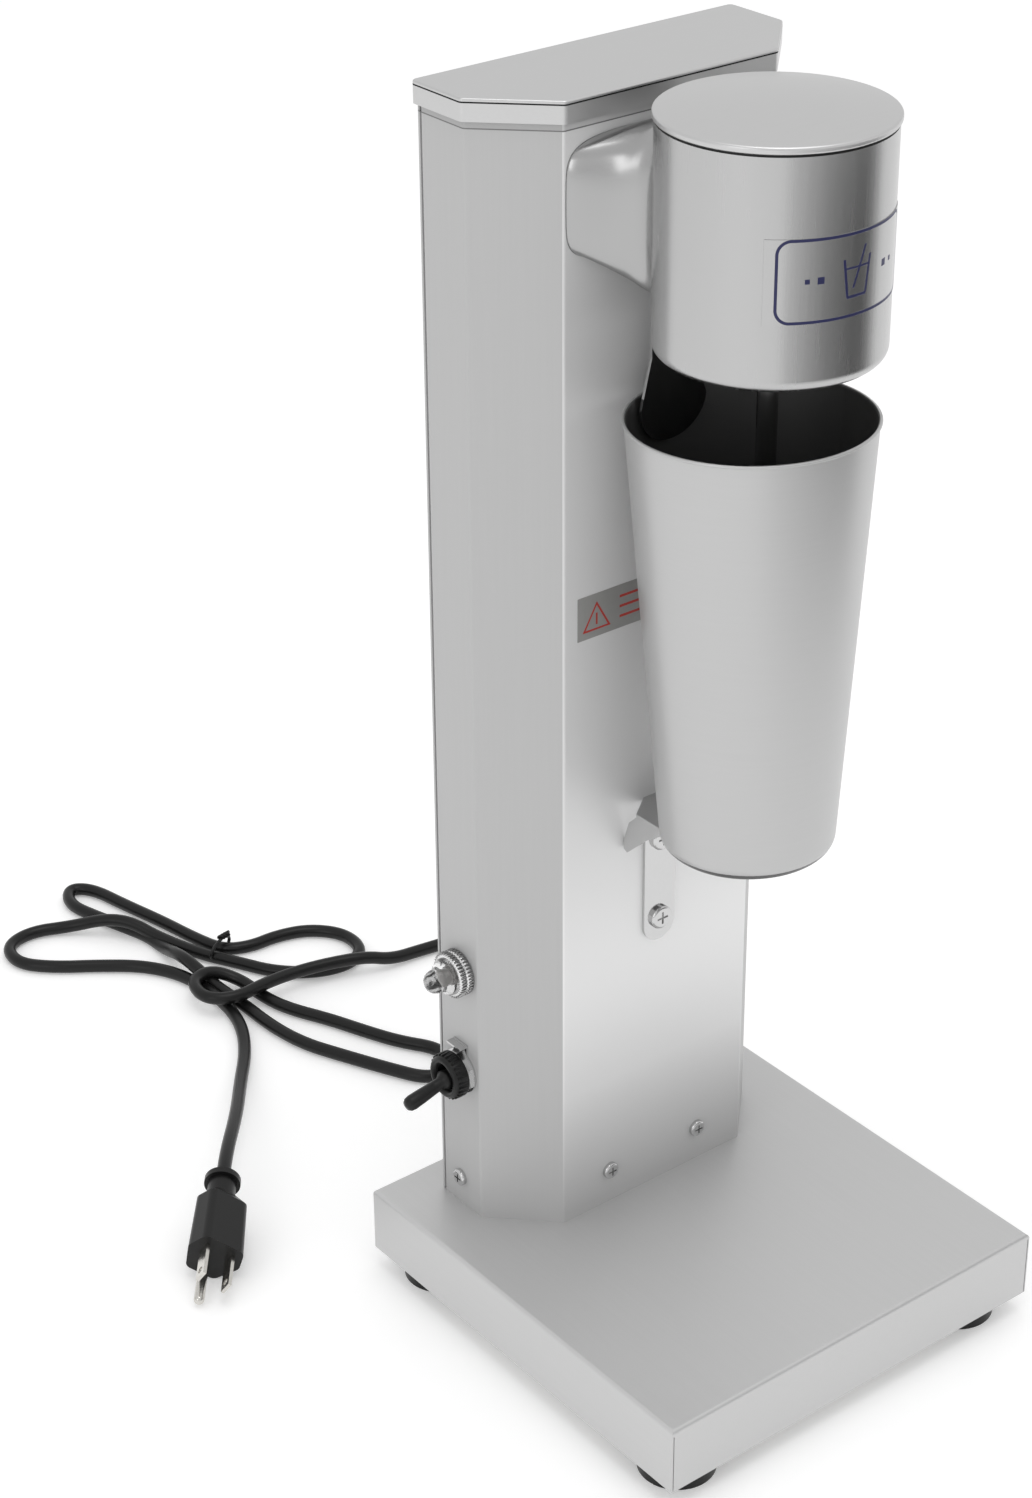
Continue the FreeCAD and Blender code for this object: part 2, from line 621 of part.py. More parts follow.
def make_cup():
    """A tapered tumbler, turned upright about its foot centre and then leaned."""
    slope = (cup_rim_radius - cup_bead - cup_foot_radius) / cup_height
    corner = cup_corner

    def side(offset):
        start = Vector(cup_foot_radius - offset + slope * corner, 0, corner)
        end = Vector(cup_rim_radius - cup_bead - offset, 0, cup_height - cup_bead)
        return start, end

    outer_start, outer_end = side(0)
    inner_start, inner_end = side(cup_wall)
    outer_bottom = Vector(cup_foot_radius - corner, 0, 0)
    inner_bottom = Vector(cup_foot_radius - corner, 0, cup_wall)
    bow = corner * 0.29
    outer_apex = Vector(cup_foot_radius - bow, 0, bow)
    inner_apex = Vector(cup_foot_radius - bow - cup_wall * 0.7, 0, bow + cup_wall * 0.7)
    edges = [Part.makeLine(Vector(0, 0, 0), outer_bottom),
             Part.Arc(outer_bottom, outer_apex, outer_start).toShape(),
             Part.makeLine(outer_start, outer_end),
             Part.makeLine(outer_end, inner_end),
             Part.makeLine(inner_end, inner_start),
             Part.Arc(inner_start, inner_apex, inner_bottom).toShape(),
             Part.makeLine(inner_bottom, Vector(0, 0, cup_wall)),
             Part.makeLine(Vector(0, 0, cup_wall), Vector(0, 0, 0))]
    body = Part.Face(Part.Wire(edges)).revolve(Vector(0, 0, 0), Vector(0, 0, 1), 360)
    bead = Part.makeTorus(cup_rim_radius - cup_bead, cup_bead, Vector(0, 0, cup_height - cup_bead))
    cup = body.fuse(bead)
    tilt = math.radians(cup_lean)
    foot_y = cup_rim_y - cup_height * math.sin(tilt)
    lift = cup_foot_radius * math.sin(tilt) * 0.8
    cup.Placement = Placement(Vector(0, foot_y, cup_base_z + lift), Rotation(Vector(1, 0, 0), -cup_lean))
    add("cup", cup)


# Cup rest and guide -----------------------------------------------------------------------------
def make_cup_rest():
    front = column_front
    thick = rest_sheet
    strap_bottom = shelf_height - strap_drop
    half = strap_width / 2
    strap = fuse(box(-half, half, front - thick, front, strap_bottom, shelf_height),
                 rod(half, (0, front - thick, strap_bottom), (0, front, strap_bottom)))
    wide = shelf_width / 2
    shelf = box(-wide, wide, front - shelf_reach, front - 8.5, shelf_height - thick, shelf_height)
    heel_corners = [Vector(-half, front, shelf_height), Vector(half, front, shelf_height),
                    Vector(wide, front - 8.5, shelf_height), Vector(-wide, front - 8.5, shelf_height)]
    heel = Part.Face(Part.makePolygon(heel_corners + heel_corners[:1])).extrude(Vector(0, 0, -thick))
    ears = []
    for sx in (-1, 1):
        x = sx * wide
        ear = [(shelf_reach - 1.5, 0), (10.0, 0), (4.0, 6.0), (0.6, 16.0), (1.0, 19.5), (3.0, 20.5),
               (14.7, 9.5), (shelf_reach - 1.5, 2.5)]
        outline = [Vector(x, front - out, shelf_height - down) for out, down in ear]
        face = Part.Face(Part.makePolygon(outline + outline[:1]))
        ears.append(face.extrude(Vector(-sx * thick, 0, 0)))
    rest = fuse(strap, heel, shelf, *ears)
    for z in rest_screws_z:
        rest = cut(rest, rod(2.1, (0, front - 4, z), (0, front + 1, z)))
    add("cup_rest", rest)
    seat = front - thick
    add("cup_rest_screws", *[pan_screw((0, seat, z), (0, -1, 0), 9.0, head=5.2) for z in rest_screws_z])
    return [((0, front + sheet, z), (0, 1, 0)) for z in rest_screws_z]


def make_nuts(seats):
    nuts = []
    for seat, outward in seats:
        far = Vector(*seat) + Vector(*outward) * 3.2
        nuts.append(cut(hexagon(7.0, seat, outward, 3.2), rod(1.9, seat, tuple(far))))
    add("hex_nuts", *nuts)


def make_cup_guide():
    """A leaf-shaped plate, bent to the cup's curve, that hangs from the neck arm into the cup's back."""
    back = column_front - guide_gap
    rim_z = cup_base_z + cup_height
    low = rim_z - guide_drop
    half = guide_width / 2
    top = arm_z - arm_half
    neck_half = 10.0
    waist_z = rim_z + 14.0
    belly_z = low + half
    edges = [Part.makeLine(Vector(-neck_half, 0, top), Vector(-neck_half, 0, waist_z)),
             Part.makeLine(Vector(-neck_half, 0, waist_z), Vector(-half, 0, belly_z)),
             Part.Arc(Vector(-half, 0, belly_z), Vector(0, 0, low), Vector(half, 0, belly_z)).toShape(),
             Part.makeLine(Vector(half, 0, belly_z), Vector(neck_half, 0, waist_z)),
             Part.makeLine(Vector(neck_half, 0, waist_z), Vector(neck_half, 0, top)),
             Part.makeLine(Vector(neck_half, 0, top), Vector(-neck_half, 0, top))]
    leaf = Part.Face(Part.Wire(edges)).extrude(Vector(0, 60, 0))
    bent = ring(guide_bend, guide_bend - guide_sheet, (0, back - guide_bend, low - 1),
                (0, back - guide_bend, top + 1))
    leaf = leaf.common(bent)
    leaf.translate(Vector(guide_x, 0, 0))
    foot = box(guide_x - neck_half, guide_x + neck_half, back - guide_sheet - 0.8, column_front - free_gap,
               top - guide_sheet, top)
    guide = fuse(leaf, foot)
    screw_y = (back + column_front) / 2
    spots = [(guide_x - 5.5, screw_y), (guide_x + 5.5, screw_y)]
    arm = parts["neck_arm"][0]
    for x, y in spots:
        guide = cut(guide, rod(1.7, (x, y, top - 4), (x, y, top + 1)))
        arm = cut(arm, rod(1.5, (x, y, top - 1), (x, y, top + 8)))
    window = box(guide_x - neck_half - 0.6, guide_x + neck_half + 0.6, back - 3.5, column_front + 1,
                 top - 40, top)
    add("neck_housing", cut(parts["neck_housing"][0], window))
    add("neck_arm", arm)
    add("cup_guide", guide)
    add("cup_guide_screws", *[pan_screw((x, y, top - guide_sheet), (0, 0, -1), 7.0,
                                        shank=1.5, head=2.7, thickness=1.8) for x, y in spots])


# Switch and lamp --------------------------------------------------------------------------------
panel_x = -column_width / 2
pivot_x = panel_x - 2.0


def side_ring(outer, inner, z, x0, x1):
    return ring(outer, inner, (x0, panel_y, z), (x1, panel_y, z))


def make_switch():
    z = switch_z
    inside = panel_x + sheet
    body = box(inside + 0.4, inside + 22, panel_y - 6.5, panel_y + 6.5, z - 14, z + 14)
    terminals = [box(inside + 22, inside + 29, panel_y - 3, panel_y + 3, z + dz - 0.4, z + dz + 0.4)
                 for dz in (-9, 0, 9)]
    cavity = cone(4.4, 6.0, (pivot_x + 3.5, panel_y, z), (panel_x - 9.5, panel_y, z))
    bushing = cut(rod(bushing_radius, (inside + 0.4, panel_y, z), (panel_x - 8.5, panel_y, z)),
                  rod(4.2, (inside - 1, panel_y, z), (panel_x - 9, panel_y, z)), cavity)
    cup_cut = Part.makeSphere(4.2, Vector(pivot_x, panel_y, z))
    body = cut(body, cup_cut)
    add("switch_body", fuse(body, bushing, *terminals))
    plate = fuse(rod(10.0, (panel_x - 0.9, panel_y, z), (panel_x, panel_y, z)),
                 box(panel_x - 0.9, panel_x, panel_y - 4.5, panel_y + 4.5, z, z + 14.5))
    tab = box(panel_x - 4.5, panel_x, panel_y - 4.5, panel_y + 4.5, z + 13.4, z + 14.3)
    add("switch_plate", cut(fuse(plate, tab), rod(bushing_radius, (panel_x - 2, panel_y, z),
                                                  (panel_x + 1, panel_y, z))))
    nuts = []
    for x, height in ((panel_x - 0.9, switch_z), (inside + 2.6, lamp_z)):
        nuts.append(cut(hexagon(16.0, (x, panel_y, height), (-1, 0, 0), 2.6),
                        rod(bushing_radius, (x + 1, panel_y, height), (x - 4, panel_y, height))))
    add("panel_nuts", *nuts)
    nut_start = panel_x - 3.5
    boot = fuse(cone(10.6, 9.4, (nut_start, panel_y, z), (nut_start - 7.0, panel_y, z)))
    ribs = 20
    grooves = []
    for k in range(ribs):
        angle = 2 * math.pi * k / ribs
        cy, cz = panel_y + 10.9 * math.cos(angle), z + 10.9 * math.sin(angle)
        grooves.append(rod(0.8, (nut_start + 1, cy, cz), (nut_start - 8, cy, cz)))
    boot = cut(boot, rod(bushing_radius, (nut_start + 1, panel_y, z), (nut_start - 5.0, panel_y, z)),
               cone(5.6, 7.2, (nut_start - 5.0, panel_y, z), (nut_start - 7.2, panel_y, z)), *grooves)
    add("switch_boot_nut", boot)
    angle = math.radians(lever_rest_angle)
    direction = Vector(-math.cos(angle), 0, -math.sin(angle))
    pivot = Vector(pivot_x, panel_y, z)
    tip = pivot + direction * lever_length
    waist = pivot + direction * (lever_length * 0.45)
    lever = fuse(Part.makeSphere(3.6, pivot),
                 rod(1.2, (pivot_x, panel_y - 3.7, z), (pivot_x, panel_y + 3.7, z)),
                 cone(2.2, lever_radius - 0.4, tuple(pivot), tuple(waist)),
                 cone(lever_radius - 0.4, lever_radius, tuple(waist), tuple(tip)),
                 Part.makeSphere(lever_radius, tip))
    add("switch_lever", lever)


def make_lamp():
    z = lamp_z
    inside = panel_x + sheet
    add("lamp_body", fuse(side_ring(bushing_radius, 4.5, z, inside + 14, panel_x - 1.5),
                          rod(bushing_radius, (inside + 14, panel_y, z), (inside + 26, panel_y, z))))
    bezel = side_ring(10.2, bushing_radius, z, panel_x, panel_x - 6.5)
    teeth = 36
    grooves = []
    for k in range(teeth):
        angle = 2 * math.pi * k / teeth
        cy, cz = panel_y + 10.3 * math.cos(angle), z + 10.3 * math.sin(angle)
        grooves.append(rod(0.45, (panel_x - 0.8, cy, cz), (panel_x - 5.7, cy, cz)))
    waist = side_ring(11, 9.4, z, panel_x - 2.9, panel_x - 3.6)
    add("lamp_bezel", cut(bezel, waist, *grooves))
    lens = fuse(rod(7.4, (panel_x - 6.5, panel_y, z), (panel_x - 9.0, panel_y, z)),
                rod(6.0, (panel_x - 9.0, panel_y, z), (panel_x - 12.2, panel_y, z)),
                Part.makeSphere(6.0, Vector(panel_x - 11.8, panel_y, z)).common(
                    box(panel_x - 20, panel_x - 11.8, 0, 140, z - 9, z + 9)))
    bore = fuse(rod(4.4, (panel_x - 5, panel_y, z), (panel_x - 11.5, panel_y, z)),
                Part.makeSphere(4.4, Vector(panel_x - 11.5, panel_y, z)))
    add("lamp_lens", cut(lens, bore))
    add("lamp_bulb", fuse(rod(2.6, (inside + 13.9, panel_y, z), (panel_x - 9.0, panel_y, z)),
                          Part.makeSphere(2.6, Vector(panel_x - 9.0, panel_y, z))))


# Wiring and labels ------------------------------------------------------------------------------
relief_neck = 6.5


def make_inside():
    inside = column_back - 2 * sheet
    block = box(-45, -9, 67, inside + 1, base_top + 60, base_top + 74)
    wells = [rod(2.0, (-41 + 7 * k, 65, base_top + 67), (-41 + 7 * k, 72, base_top + 67)) for k in range(5)]
    add("terminal_block", cut(block, *wells))
    add("suppression_capacitor", box(12, 40, 66, inside + 1, base_top + 110, base_top + 132))
    run = [Vector(0, head_back - 9, arm_z), Vector(0, inside_y - 12, arm_z),
           Vector(0, inside_y, arm_z - 30), Vector(0, inside_y + 2, base_top + 150),
           Vector(-20, inside_y + 6, base_top + 118), Vector(-27, inside_y + 17, base_top + 96),
           Vector(-27, inside_y + 17, base_top + 74)]
    add("motor_wiring", tube(run, 2.4)[0])


def make_labels():
    low = column_top - sticker_drop
    add("safety_sticker", box(*sticker_x, column_front - 0.15, column_front, low, low + sticker_height))
    emblem_z = (head_bottom + head_top) / 2 - emblem_drop
    z0, z1 = emblem_z - emblem_height / 2, emblem_z + emblem_height / 2
    emblem = ring(head_radius + 0.25, head_radius, on_axis(z0), on_axis(z1))
    half = emblem_width / 2
    add("head_badge", emblem.common(box(-half, half, head_y - 60, head_y - 10, z0, z1)))


# Cord -------------------------------------------------------------------------------------------
lay = cord_radius
exit_x, exit_z = cord_exit.x, cord_exit.z
lead_route = [Vector(exit_x, column_back - 2.5, exit_z), Vector(exit_x, column_back + 41.5, exit_z),
              Vector(35, 163, exit_z - 20), Vector(64, 193, 18), Vector(99.8, 216.7, lay),
              Vector(122.9, 250.8, lay), Vector(105.8, 287, lay), Vector(69.6, 294, lay),
              Vector(47.5, 295.5, lay)]
plug_start = Vector(-133, 171, 18.7)
plug_axis = Vector(-0.6324, -0.7746, 0)
plug_way = plug_axis * math.cos(math.radians(plug_dip)) - Vector(0, 0, math.sin(math.radians(plug_dip)))
plug_route = [Vector(-40.9, 291, lay), Vector(-53.9, 270.9, lay), Vector(-72.5, 247, lay + 3.3),
              Vector(-94, 217, 14.5), plug_start - plug_way * 17, plug_start]


def tube(route, radius):
    """A round tube along straight runs joined by tangent arcs, and its length and arc radii."""
    edges, radii = [], []
    start = route[0]
    for index in range(1, len(route) - 1):
        corner = route[index]
        back = (route[index - 1] - corner)
        ahead = (route[index + 1] - corner)
        reach = 0.45 * min(back.Length, ahead.Length)
        back.normalize()
        ahead.normalize()
        turn = math.pi - back.getAngle(ahead)
        bend = reach / math.tan(turn / 2)
        radii.append(bend)
        first, last = corner + back * reach, corner + ahead * reach
        middle = (back + ahead).normalize()
        apex = corner + middle * (bend / math.cos(turn / 2) - bend)
        edges.append(Part.LineSegment(start, first).toShape())
        edges.append(Part.Arc(first, apex, last).toShape())
        start = last
    edges.append(Part.LineSegment(start, route[-1]).toShape())
    path = Part.Wire(edges)
    length = path.Length
    circle = Part.Circle(route[0], (route[1] - route[0]).normalize(), radius).toShape()
    solid = path.makePipeShell([Part.Wire(circle)], True, True)
    return solid, length, radii


def report_cord(name, route):
    solid, length, radii = tube(route, cord_radius)
    expected = math.pi * cord_radius ** 2 * length
    print(name, "length", round(length, 1), "volume ratio", round(solid.Volume / expected, 4),
          "radii", [round(r, 1) for r in radii])
    return solid


def lobe(start, radius_start, end, radius_end, height):
    """A tapered bar with round ends, lying on the table: two discs and what lies between."""
    a, b = Vector(start[0], start[1], 0), Vector(end[0], end[1], 0)
    along = b - a
    span = along.Length
    lean = math.asin((radius_start - radius_end) / span)
    heading = math.atan2(along.y, along.x)
    left, right = heading + math.pi / 2 - lean, heading - math.pi / 2 + lean

    def point(centre, radius, angle):
        return centre + Vector(radius * math.cos(angle), radius * math.sin(angle), 0)

    edges = [Part.makeLine(point(a, radius_start, left), point(b, radius_end, left)),
             Part.Arc(point(b, radius_end, left), point(b, radius_end, heading),
                      point(b, radius_end, right)).toShape(),
             Part.makeLine(point(b, radius_end, right), point(a, radius_start, right)),
             Part.Arc(point(a, radius_start, right), point(a, radius_start, heading + math.pi),
                      point(a, radius_start, left)).toShape()]
    return Part.Face(Part.Wire(edges)).extrude(Vector(0, 0, height))


def make_cord():
    lead, plug_lead = report_cord("lead", lead_route), report_cord("plug lead", plug_route)
    add("power_cord", lead, plug_lead)

    wide, high = 4 * cord_radius, 6.4 * cord_radius
    loops = [lobe((-29, 327), 17, (-73, 411.5), 33, wide), lobe((-24, 341), 14, (-37, 448), 11, wide),
             lobe((-13, 330), 19, (23.5, 326), 25, wide + 2), lobe((-30, 303), 17, (3.5, 213), 20, wide),
             Part.makeCylinder(21, high, Vector(-28, 325, 0))]
    bundle = fuse(*loops)
    tie_place = Placement(Vector(-15.8, 352.3, 0), Rotation(Vector(0, 0, 1), 27))
    tie = cut(Part.makeBox(18, 5, 8.4, Vector(-9, -2.5, 0)),
              Part.makeBox(15.4, 7, 6.9, Vector(-7.7, -3.5, 0.3)))
    tie.Placement = tie_place
    bundle = cut(bundle, tie, lead, plug_lead)
    add("cord_bundle", max(bundle.Solids, key=lambda solid: solid.Volume))
    add("cord_tie", tie)

    exit_y = column_back
    x, z = cord_exit.x, cord_exit.z
    relief = fuse(rod(relief_neck, (x, shell_back - 4, z), (x, exit_y, z)),
                  rod(9.0, (x, exit_y, z), (x, exit_y + 3.5, z)),
                  cone(6.6, 4.6, (x, exit_y + 3.5, z), (x, exit_y + relief_length, z)),
                  rod(8.4, (x, shell_back - 4 - 3, z), (x, shell_back - 2.6, z)))
    for k in range(3):
        y = exit_y + 7 + 4.4 * k
        relief = cut(relief, ring(9, 5.1 - 0.3 * k, (x, y, z), (x, y + 1.4, z)))
    add("strain_relief", cut(relief, rod(cord_radius, (x, 60, z), (x, exit_y + relief_length + 1, z))))


def make_plug():
    """A moulded plug with two flat blades and a round earth pin, built along +X and then laid down."""
    front_x = plug_length
    collar = [rod(8.2, (-1.5, 0, 0), (1.5, 0, 0)), rod(6.4, (1.0, 0, 0), (13.0, 0, 0))]
    half_wide, half_deep = 13.0, 10.8
    corners = [(-half_wide * 0.55, -half_deep), (half_wide * 0.55, -half_deep), (half_wide, half_deep * 0.1),
               (half_wide * 0.75, half_deep), (-half_wide * 0.75, half_deep), (-half_wide, half_deep * 0.1)]

    def section(x, scale, radius):
        return rounded_wire([Vector(x, y * scale, z * scale) for y, z in corners], radius)

    shoulder = Part.makeLoft([section(10.5, 0.55, 2.4), section(16.5, 0.92, 3.4)], True, True)
    grip = Part.makeLoft([section(16.5, 0.92, 3.4), section(front_x, 1.0, 3.4)], True, True)
    block = fuse(shoulder, grip, *collar)
    blades = []
    for y in (-6.35, 6.35):
        blade = box(front_x, front_x + 17.5, y - 0.8, y + 0.8, 1.0, 7.3)
        blades.append(cut(blade, rod(1.6, (front_x + 14, y - 2, 4.15), (front_x + 14, y + 2, 4.15))))
    pin_end = front_x + 18.2
    blades.append(fuse(rod(2.4, (front_x, 0, -7.7), (pin_end, 0, -7.7)),
                       Part.makeSphere(2.4, Vector(pin_end, 0, -7.7))))
    heading = math.degrees(math.atan2(plug_axis.y, plug_axis.x))
    turn = Rotation(Vector(0, 0, 1), heading).multiply(Rotation(Vector(0, 1, 0), plug_dip))
    place = Placement(plug_start, turn.multiply(Rotation(Vector(1, 0, 0), plug_roll)))
    for shape in [block] + blades:
        shape.Placement = place.multiply(shape.Placement)
    block = cut(block, parts["power_cord"][1])
    add("plug_body", max(block.Solids, key=lambda solid: solid.Volume))
    add("plug_blades", *blades)
    lowest = min(solid.BoundBox.ZMin for solid in [block] + blades)
    print("plug's lowest point", round(lowest, 2))


make_base()
make_column()
nut_seats = make_base_brackets()
make_head()
make_neck()
make_motor()
make_spindle()
make_cup()
nut_seats += make_cup_rest()
make_nuts(nut_seats)
make_cup_guide()
make_switch()
make_lamp()
make_inside()
make_labels()
make_cord()
make_plug()

for name, solids in parts.items():
    shape = solids[0] if len(solids) == 1 else Part.makeCompound(solids)
    if not shape.isValid():
        print("not valid:", name)
    shape.exportStep("parts/" + name + ".step")
print(len(parts), "nodes")
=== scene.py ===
import math

import bmesh
import bpy
from mathutils import Matrix, Vector


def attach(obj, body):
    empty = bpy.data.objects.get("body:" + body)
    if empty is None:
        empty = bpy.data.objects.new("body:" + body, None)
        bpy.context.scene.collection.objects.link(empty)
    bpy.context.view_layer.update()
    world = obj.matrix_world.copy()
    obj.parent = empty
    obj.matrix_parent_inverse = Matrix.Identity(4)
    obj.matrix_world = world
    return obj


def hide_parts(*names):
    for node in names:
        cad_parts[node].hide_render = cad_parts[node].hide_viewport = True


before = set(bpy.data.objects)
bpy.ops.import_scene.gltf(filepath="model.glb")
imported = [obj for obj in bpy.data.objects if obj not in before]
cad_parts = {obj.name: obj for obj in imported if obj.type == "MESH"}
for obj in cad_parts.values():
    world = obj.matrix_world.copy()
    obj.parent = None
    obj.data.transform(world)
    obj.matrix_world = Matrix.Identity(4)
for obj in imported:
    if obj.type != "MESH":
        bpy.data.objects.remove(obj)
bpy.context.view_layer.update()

mm = 0.001

cameraSet = {
    "place": (-715.18, -795.32, 864.99),
    "right": (0.786725, -0.617253, -0.007885),
    "up": (0.306146, 0.379046, 0.873269),
    "lens": 74.415,
}


def makeCamera(s):
    data = bpy.data.cameras.new("camera")
    data.lens = s["lens"]
    data.sensor_width = 36
    data.clip_start = 0.05
    camera = bpy.data.objects.new("camera", data)
    bpy.context.collection.objects.link(camera)
    right = Vector(s["right"]).normalized()
    up = Vector(s["up"])
    up = (up - right * up.dot(right)).normalized()
    back = right.cross(up)
    turn = Matrix((right, up, back)).transposed().to_4x4()
    camera.matrix_world = Matrix.Translation(Vector(s["place"]) * mm) @ turn
    bpy.context.scene.camera = camera
    print("camera set")


makeCamera(cameraSet)


# Shader maths: a socket that takes part in Python expressions
class Value:
    def __init__(self, tree, socket):
        self.tree = tree
        self.socket = socket

    def math(self, operation, *others, clamp=False):
        node = self.tree.nodes.new("ShaderNodeMath")
        node.operation = operation
        node.use_clamp = clamp
        for index, item in enumerate((self,) + others):
            plug(self.tree, node.inputs[index], item)
        return Value(self.tree, node.outputs[0])

    def __add__(self, other): return self.math("ADD", other)
    def __radd__(self, other): return self.math("ADD", other)
    def __sub__(self, other): return self.math("SUBTRACT", other)
    def __rsub__(self, other): return constant(self.tree, other).math("SUBTRACT", self)
    def __mul__(self, other): return self.math("MULTIPLY", other)
    def __rmul__(self, other): return self.math("MULTIPLY", other)
    def __truediv__(self, other): return self.math("DIVIDE", other)
    def __gt__(self, other): return self.math("GREATER_THAN", other)
    def __lt__(self, other): return self.math("LESS_THAN", other)
    def __abs__(self): return self.math("ABSOLUTE")
    def largest(self, other): return self.math("MAXIMUM", other)

    def between(self, low, high):
        return (self > low) * (self < high)


def constant(tree, number):
    node = tree.nodes.new("ShaderNodeValue")
    node.outputs[0].default_value = number
    return Value(tree, node.outputs[0])


def plug(tree, socket, item):
    if isinstance(item, Value):
        tree.links.new(item.socket, socket)
    else:
        socket.default_value = item


class Finish:
    def __init__(self, name):
        self.material = bpy.data.materials.new(name)
        self.material.use_nodes = True
        self.tree = self.material.node_tree
        self.shader = self.tree.nodes["Principled BSDF"]

    def node(self, kind, settings=None, output=0, **inputs):
        node = self.tree.nodes.new(kind)
        for key, item in (settings or {}).items():
            if key == "stops":
                for index, (place, tone) in enumerate(item):
                    stops = node.color_ramp.elements
                    stop = stops[index] if index < len(stops) else stops.new(place)
                    stop.position = place
                    stop.color = tone if len(tone) == 4 else (*tone, 1)
            else:
                setattr(node, key, item)
        for key, item in inputs.items():
            plug(self.tree, node.inputs[key.replace("_", " ")], item)
        return Value(self.tree, node.outputs[output])

    def set(self, **sockets):
        for key, item in sockets.items():
            plug(self.tree, self.shader.inputs[key.replace("_", " ")], item)

    def place(self):
        return self.node("ShaderNodeTexCoord", output=3)

    def axes(self):
        node = self.tree.nodes.new("ShaderNodeSeparateXYZ")
        plug(self.tree, node.inputs[0], self.place())
        return [Value(self.tree, out) for out in node.outputs]

    def stretched(self, scale):
        return self.node("ShaderNodeMapping", Vector=self.place(), Scale=scale)

    def noise(self, vector, scale, detail=3.0, roughness=0.5):
        return self.node("ShaderNodeTexNoise", Vector=vector, Scale=scale, Detail=detail,
                         Roughness=roughness)

    def mix(self, factor, first, second):
        node = self.tree.nodes.new("ShaderNodeMix")
        node.data_type = "RGBA"
        for index, item in ((0, factor), (6, first), (7, second)):
            plug(self.tree, node.inputs[index], item)
        return Value(self.tree, node.outputs[2])

    def bump(self, height, distance, strength=1.0):
        node = self.node("ShaderNodeBump", Height=height, Distance=distance, Strength=strength)
        self.set(Normal=node)


def steel(name, grain, tone, rough, metal=1.0, spread=0.05, depth=0.02, patch=0.04, extra=None):
    f = Finish(name)
    fine = f.noise(f.stretched(grain), 900, detail=4)  # drawn-out noise is the brushing
    broad = f.noise(f.place(), 11, detail=2)
    roughness = fine * spread + (rough - spread * 0.5) + (broad - 0.5) * patch
    dark = tuple(t * 0.955 for t in tone)
    colour = f.mix(fine, (*dark, 1), (*tone, 1))
    if extra:
        colour, roughness = extra(f, colour, roughness)
    f.set(Metallic=metal, Base_Color=colour, Roughness=roughness, Specular_IOR_Level=0.2)
    f.bump(fine * depth, 0.001, 0.35)
    return f.material


def plain(name, tone, rough, metal=0.0, speckle=0.06, scale=900, depth=0.00004, **more):
    f = Finish(name)
    grain = f.noise(f.place(), scale, detail=3)
    dark = tuple(t * (1 - speckle * 4) for t in tone)
    f.set(Metallic=metal, Base_Color=f.mix(grain, (*dark, 1), (*tone, 1)),
          Roughness=grain * speckle * 2 + (rough - speckle), **more)
    f.bump(grain * depth, 1.0, 0.6)
    return f.material


def grey(tone):
    return (tone, tone, tone, 1)


def capSeamShadow(f, colour, roughness):
    x, y, z = f.axes()
    low, high = capSet["seamHeight"]
    # painted shadow: a dark line where the top sheet meets its flange
    line = z.between(low * mm, high * mm)  # the shadow line where the top sheet meets its flange
    return f.mix(line, colour, grey(capSet["lineTone"])), roughness + line * capSet["lineRough"]


def shellSeamAndPaintedLight(f, colour, roughness):
    # painted light and shade on the front: the front is painted lighter, with a painted band of sheen
    # standing in for a reflection and a painted darker foot as shade; a strip above the seam is darker
    s = shellSet
    x, y, z = f.axes()
    low, high = s["seamHeight"]
    line = z.between(low * mm, high * mm)
    front = y < s["frontEdge"] * mm
    # painted sheen: a lighter band across the front around the given height
    sheen = ((z - s["sheenHeight"] * mm) * (1 / (s["sheenReach"] * mm))).math("POWER", 2.0) * -1
    sheen = sheen.math("EXPONENT") * front
    light = f.mix(sheen, f.mix(front, colour, grey(s["paintedFrontLight"])), grey(s["paintedSheenTone"]))
    # painted shade: the front gets darker towards its foot
    top, reach, share = s["foot"]
    foot = (z * -1000 + top).math("MULTIPLY", 1 / reach, clamp=True) * front * share
    light = f.mix(foot, light, grey(s["darkTone"]))
    strip = f.mix((z > high * mm) * s["stripShare"], light, grey(s["darkTone"]))
    return f.mix(line, strip, grey(s["lineTone"])), roughness


def cupInsidePaintedShade(f, colour, roughness):
    # painted shade on the cup's inside: darker nearer the leaning axis than the middle of its wall
    s = cupSet
    x, y, z = f.axes()
    (footY, footZ), (rimY, rimZ), (footRadius, rimRadius) = s["foot"], s["rim"], s["radii"]
    up = (z - footZ * mm) * (1 / ((rimZ - footZ) * mm))
    axis = up * ((rimY - footY) * mm) + footY * mm
    wall = up * ((rimRadius - footRadius) * mm) + footRadius * mm
    away = y - axis
    reach = (x * x + away * away).math("SQRT")
    inside = (reach < wall) * (z > (footZ + s["floor"]) * mm)
    return f.mix(inside, colour, grey(s["paintedInsideShade"])), roughness


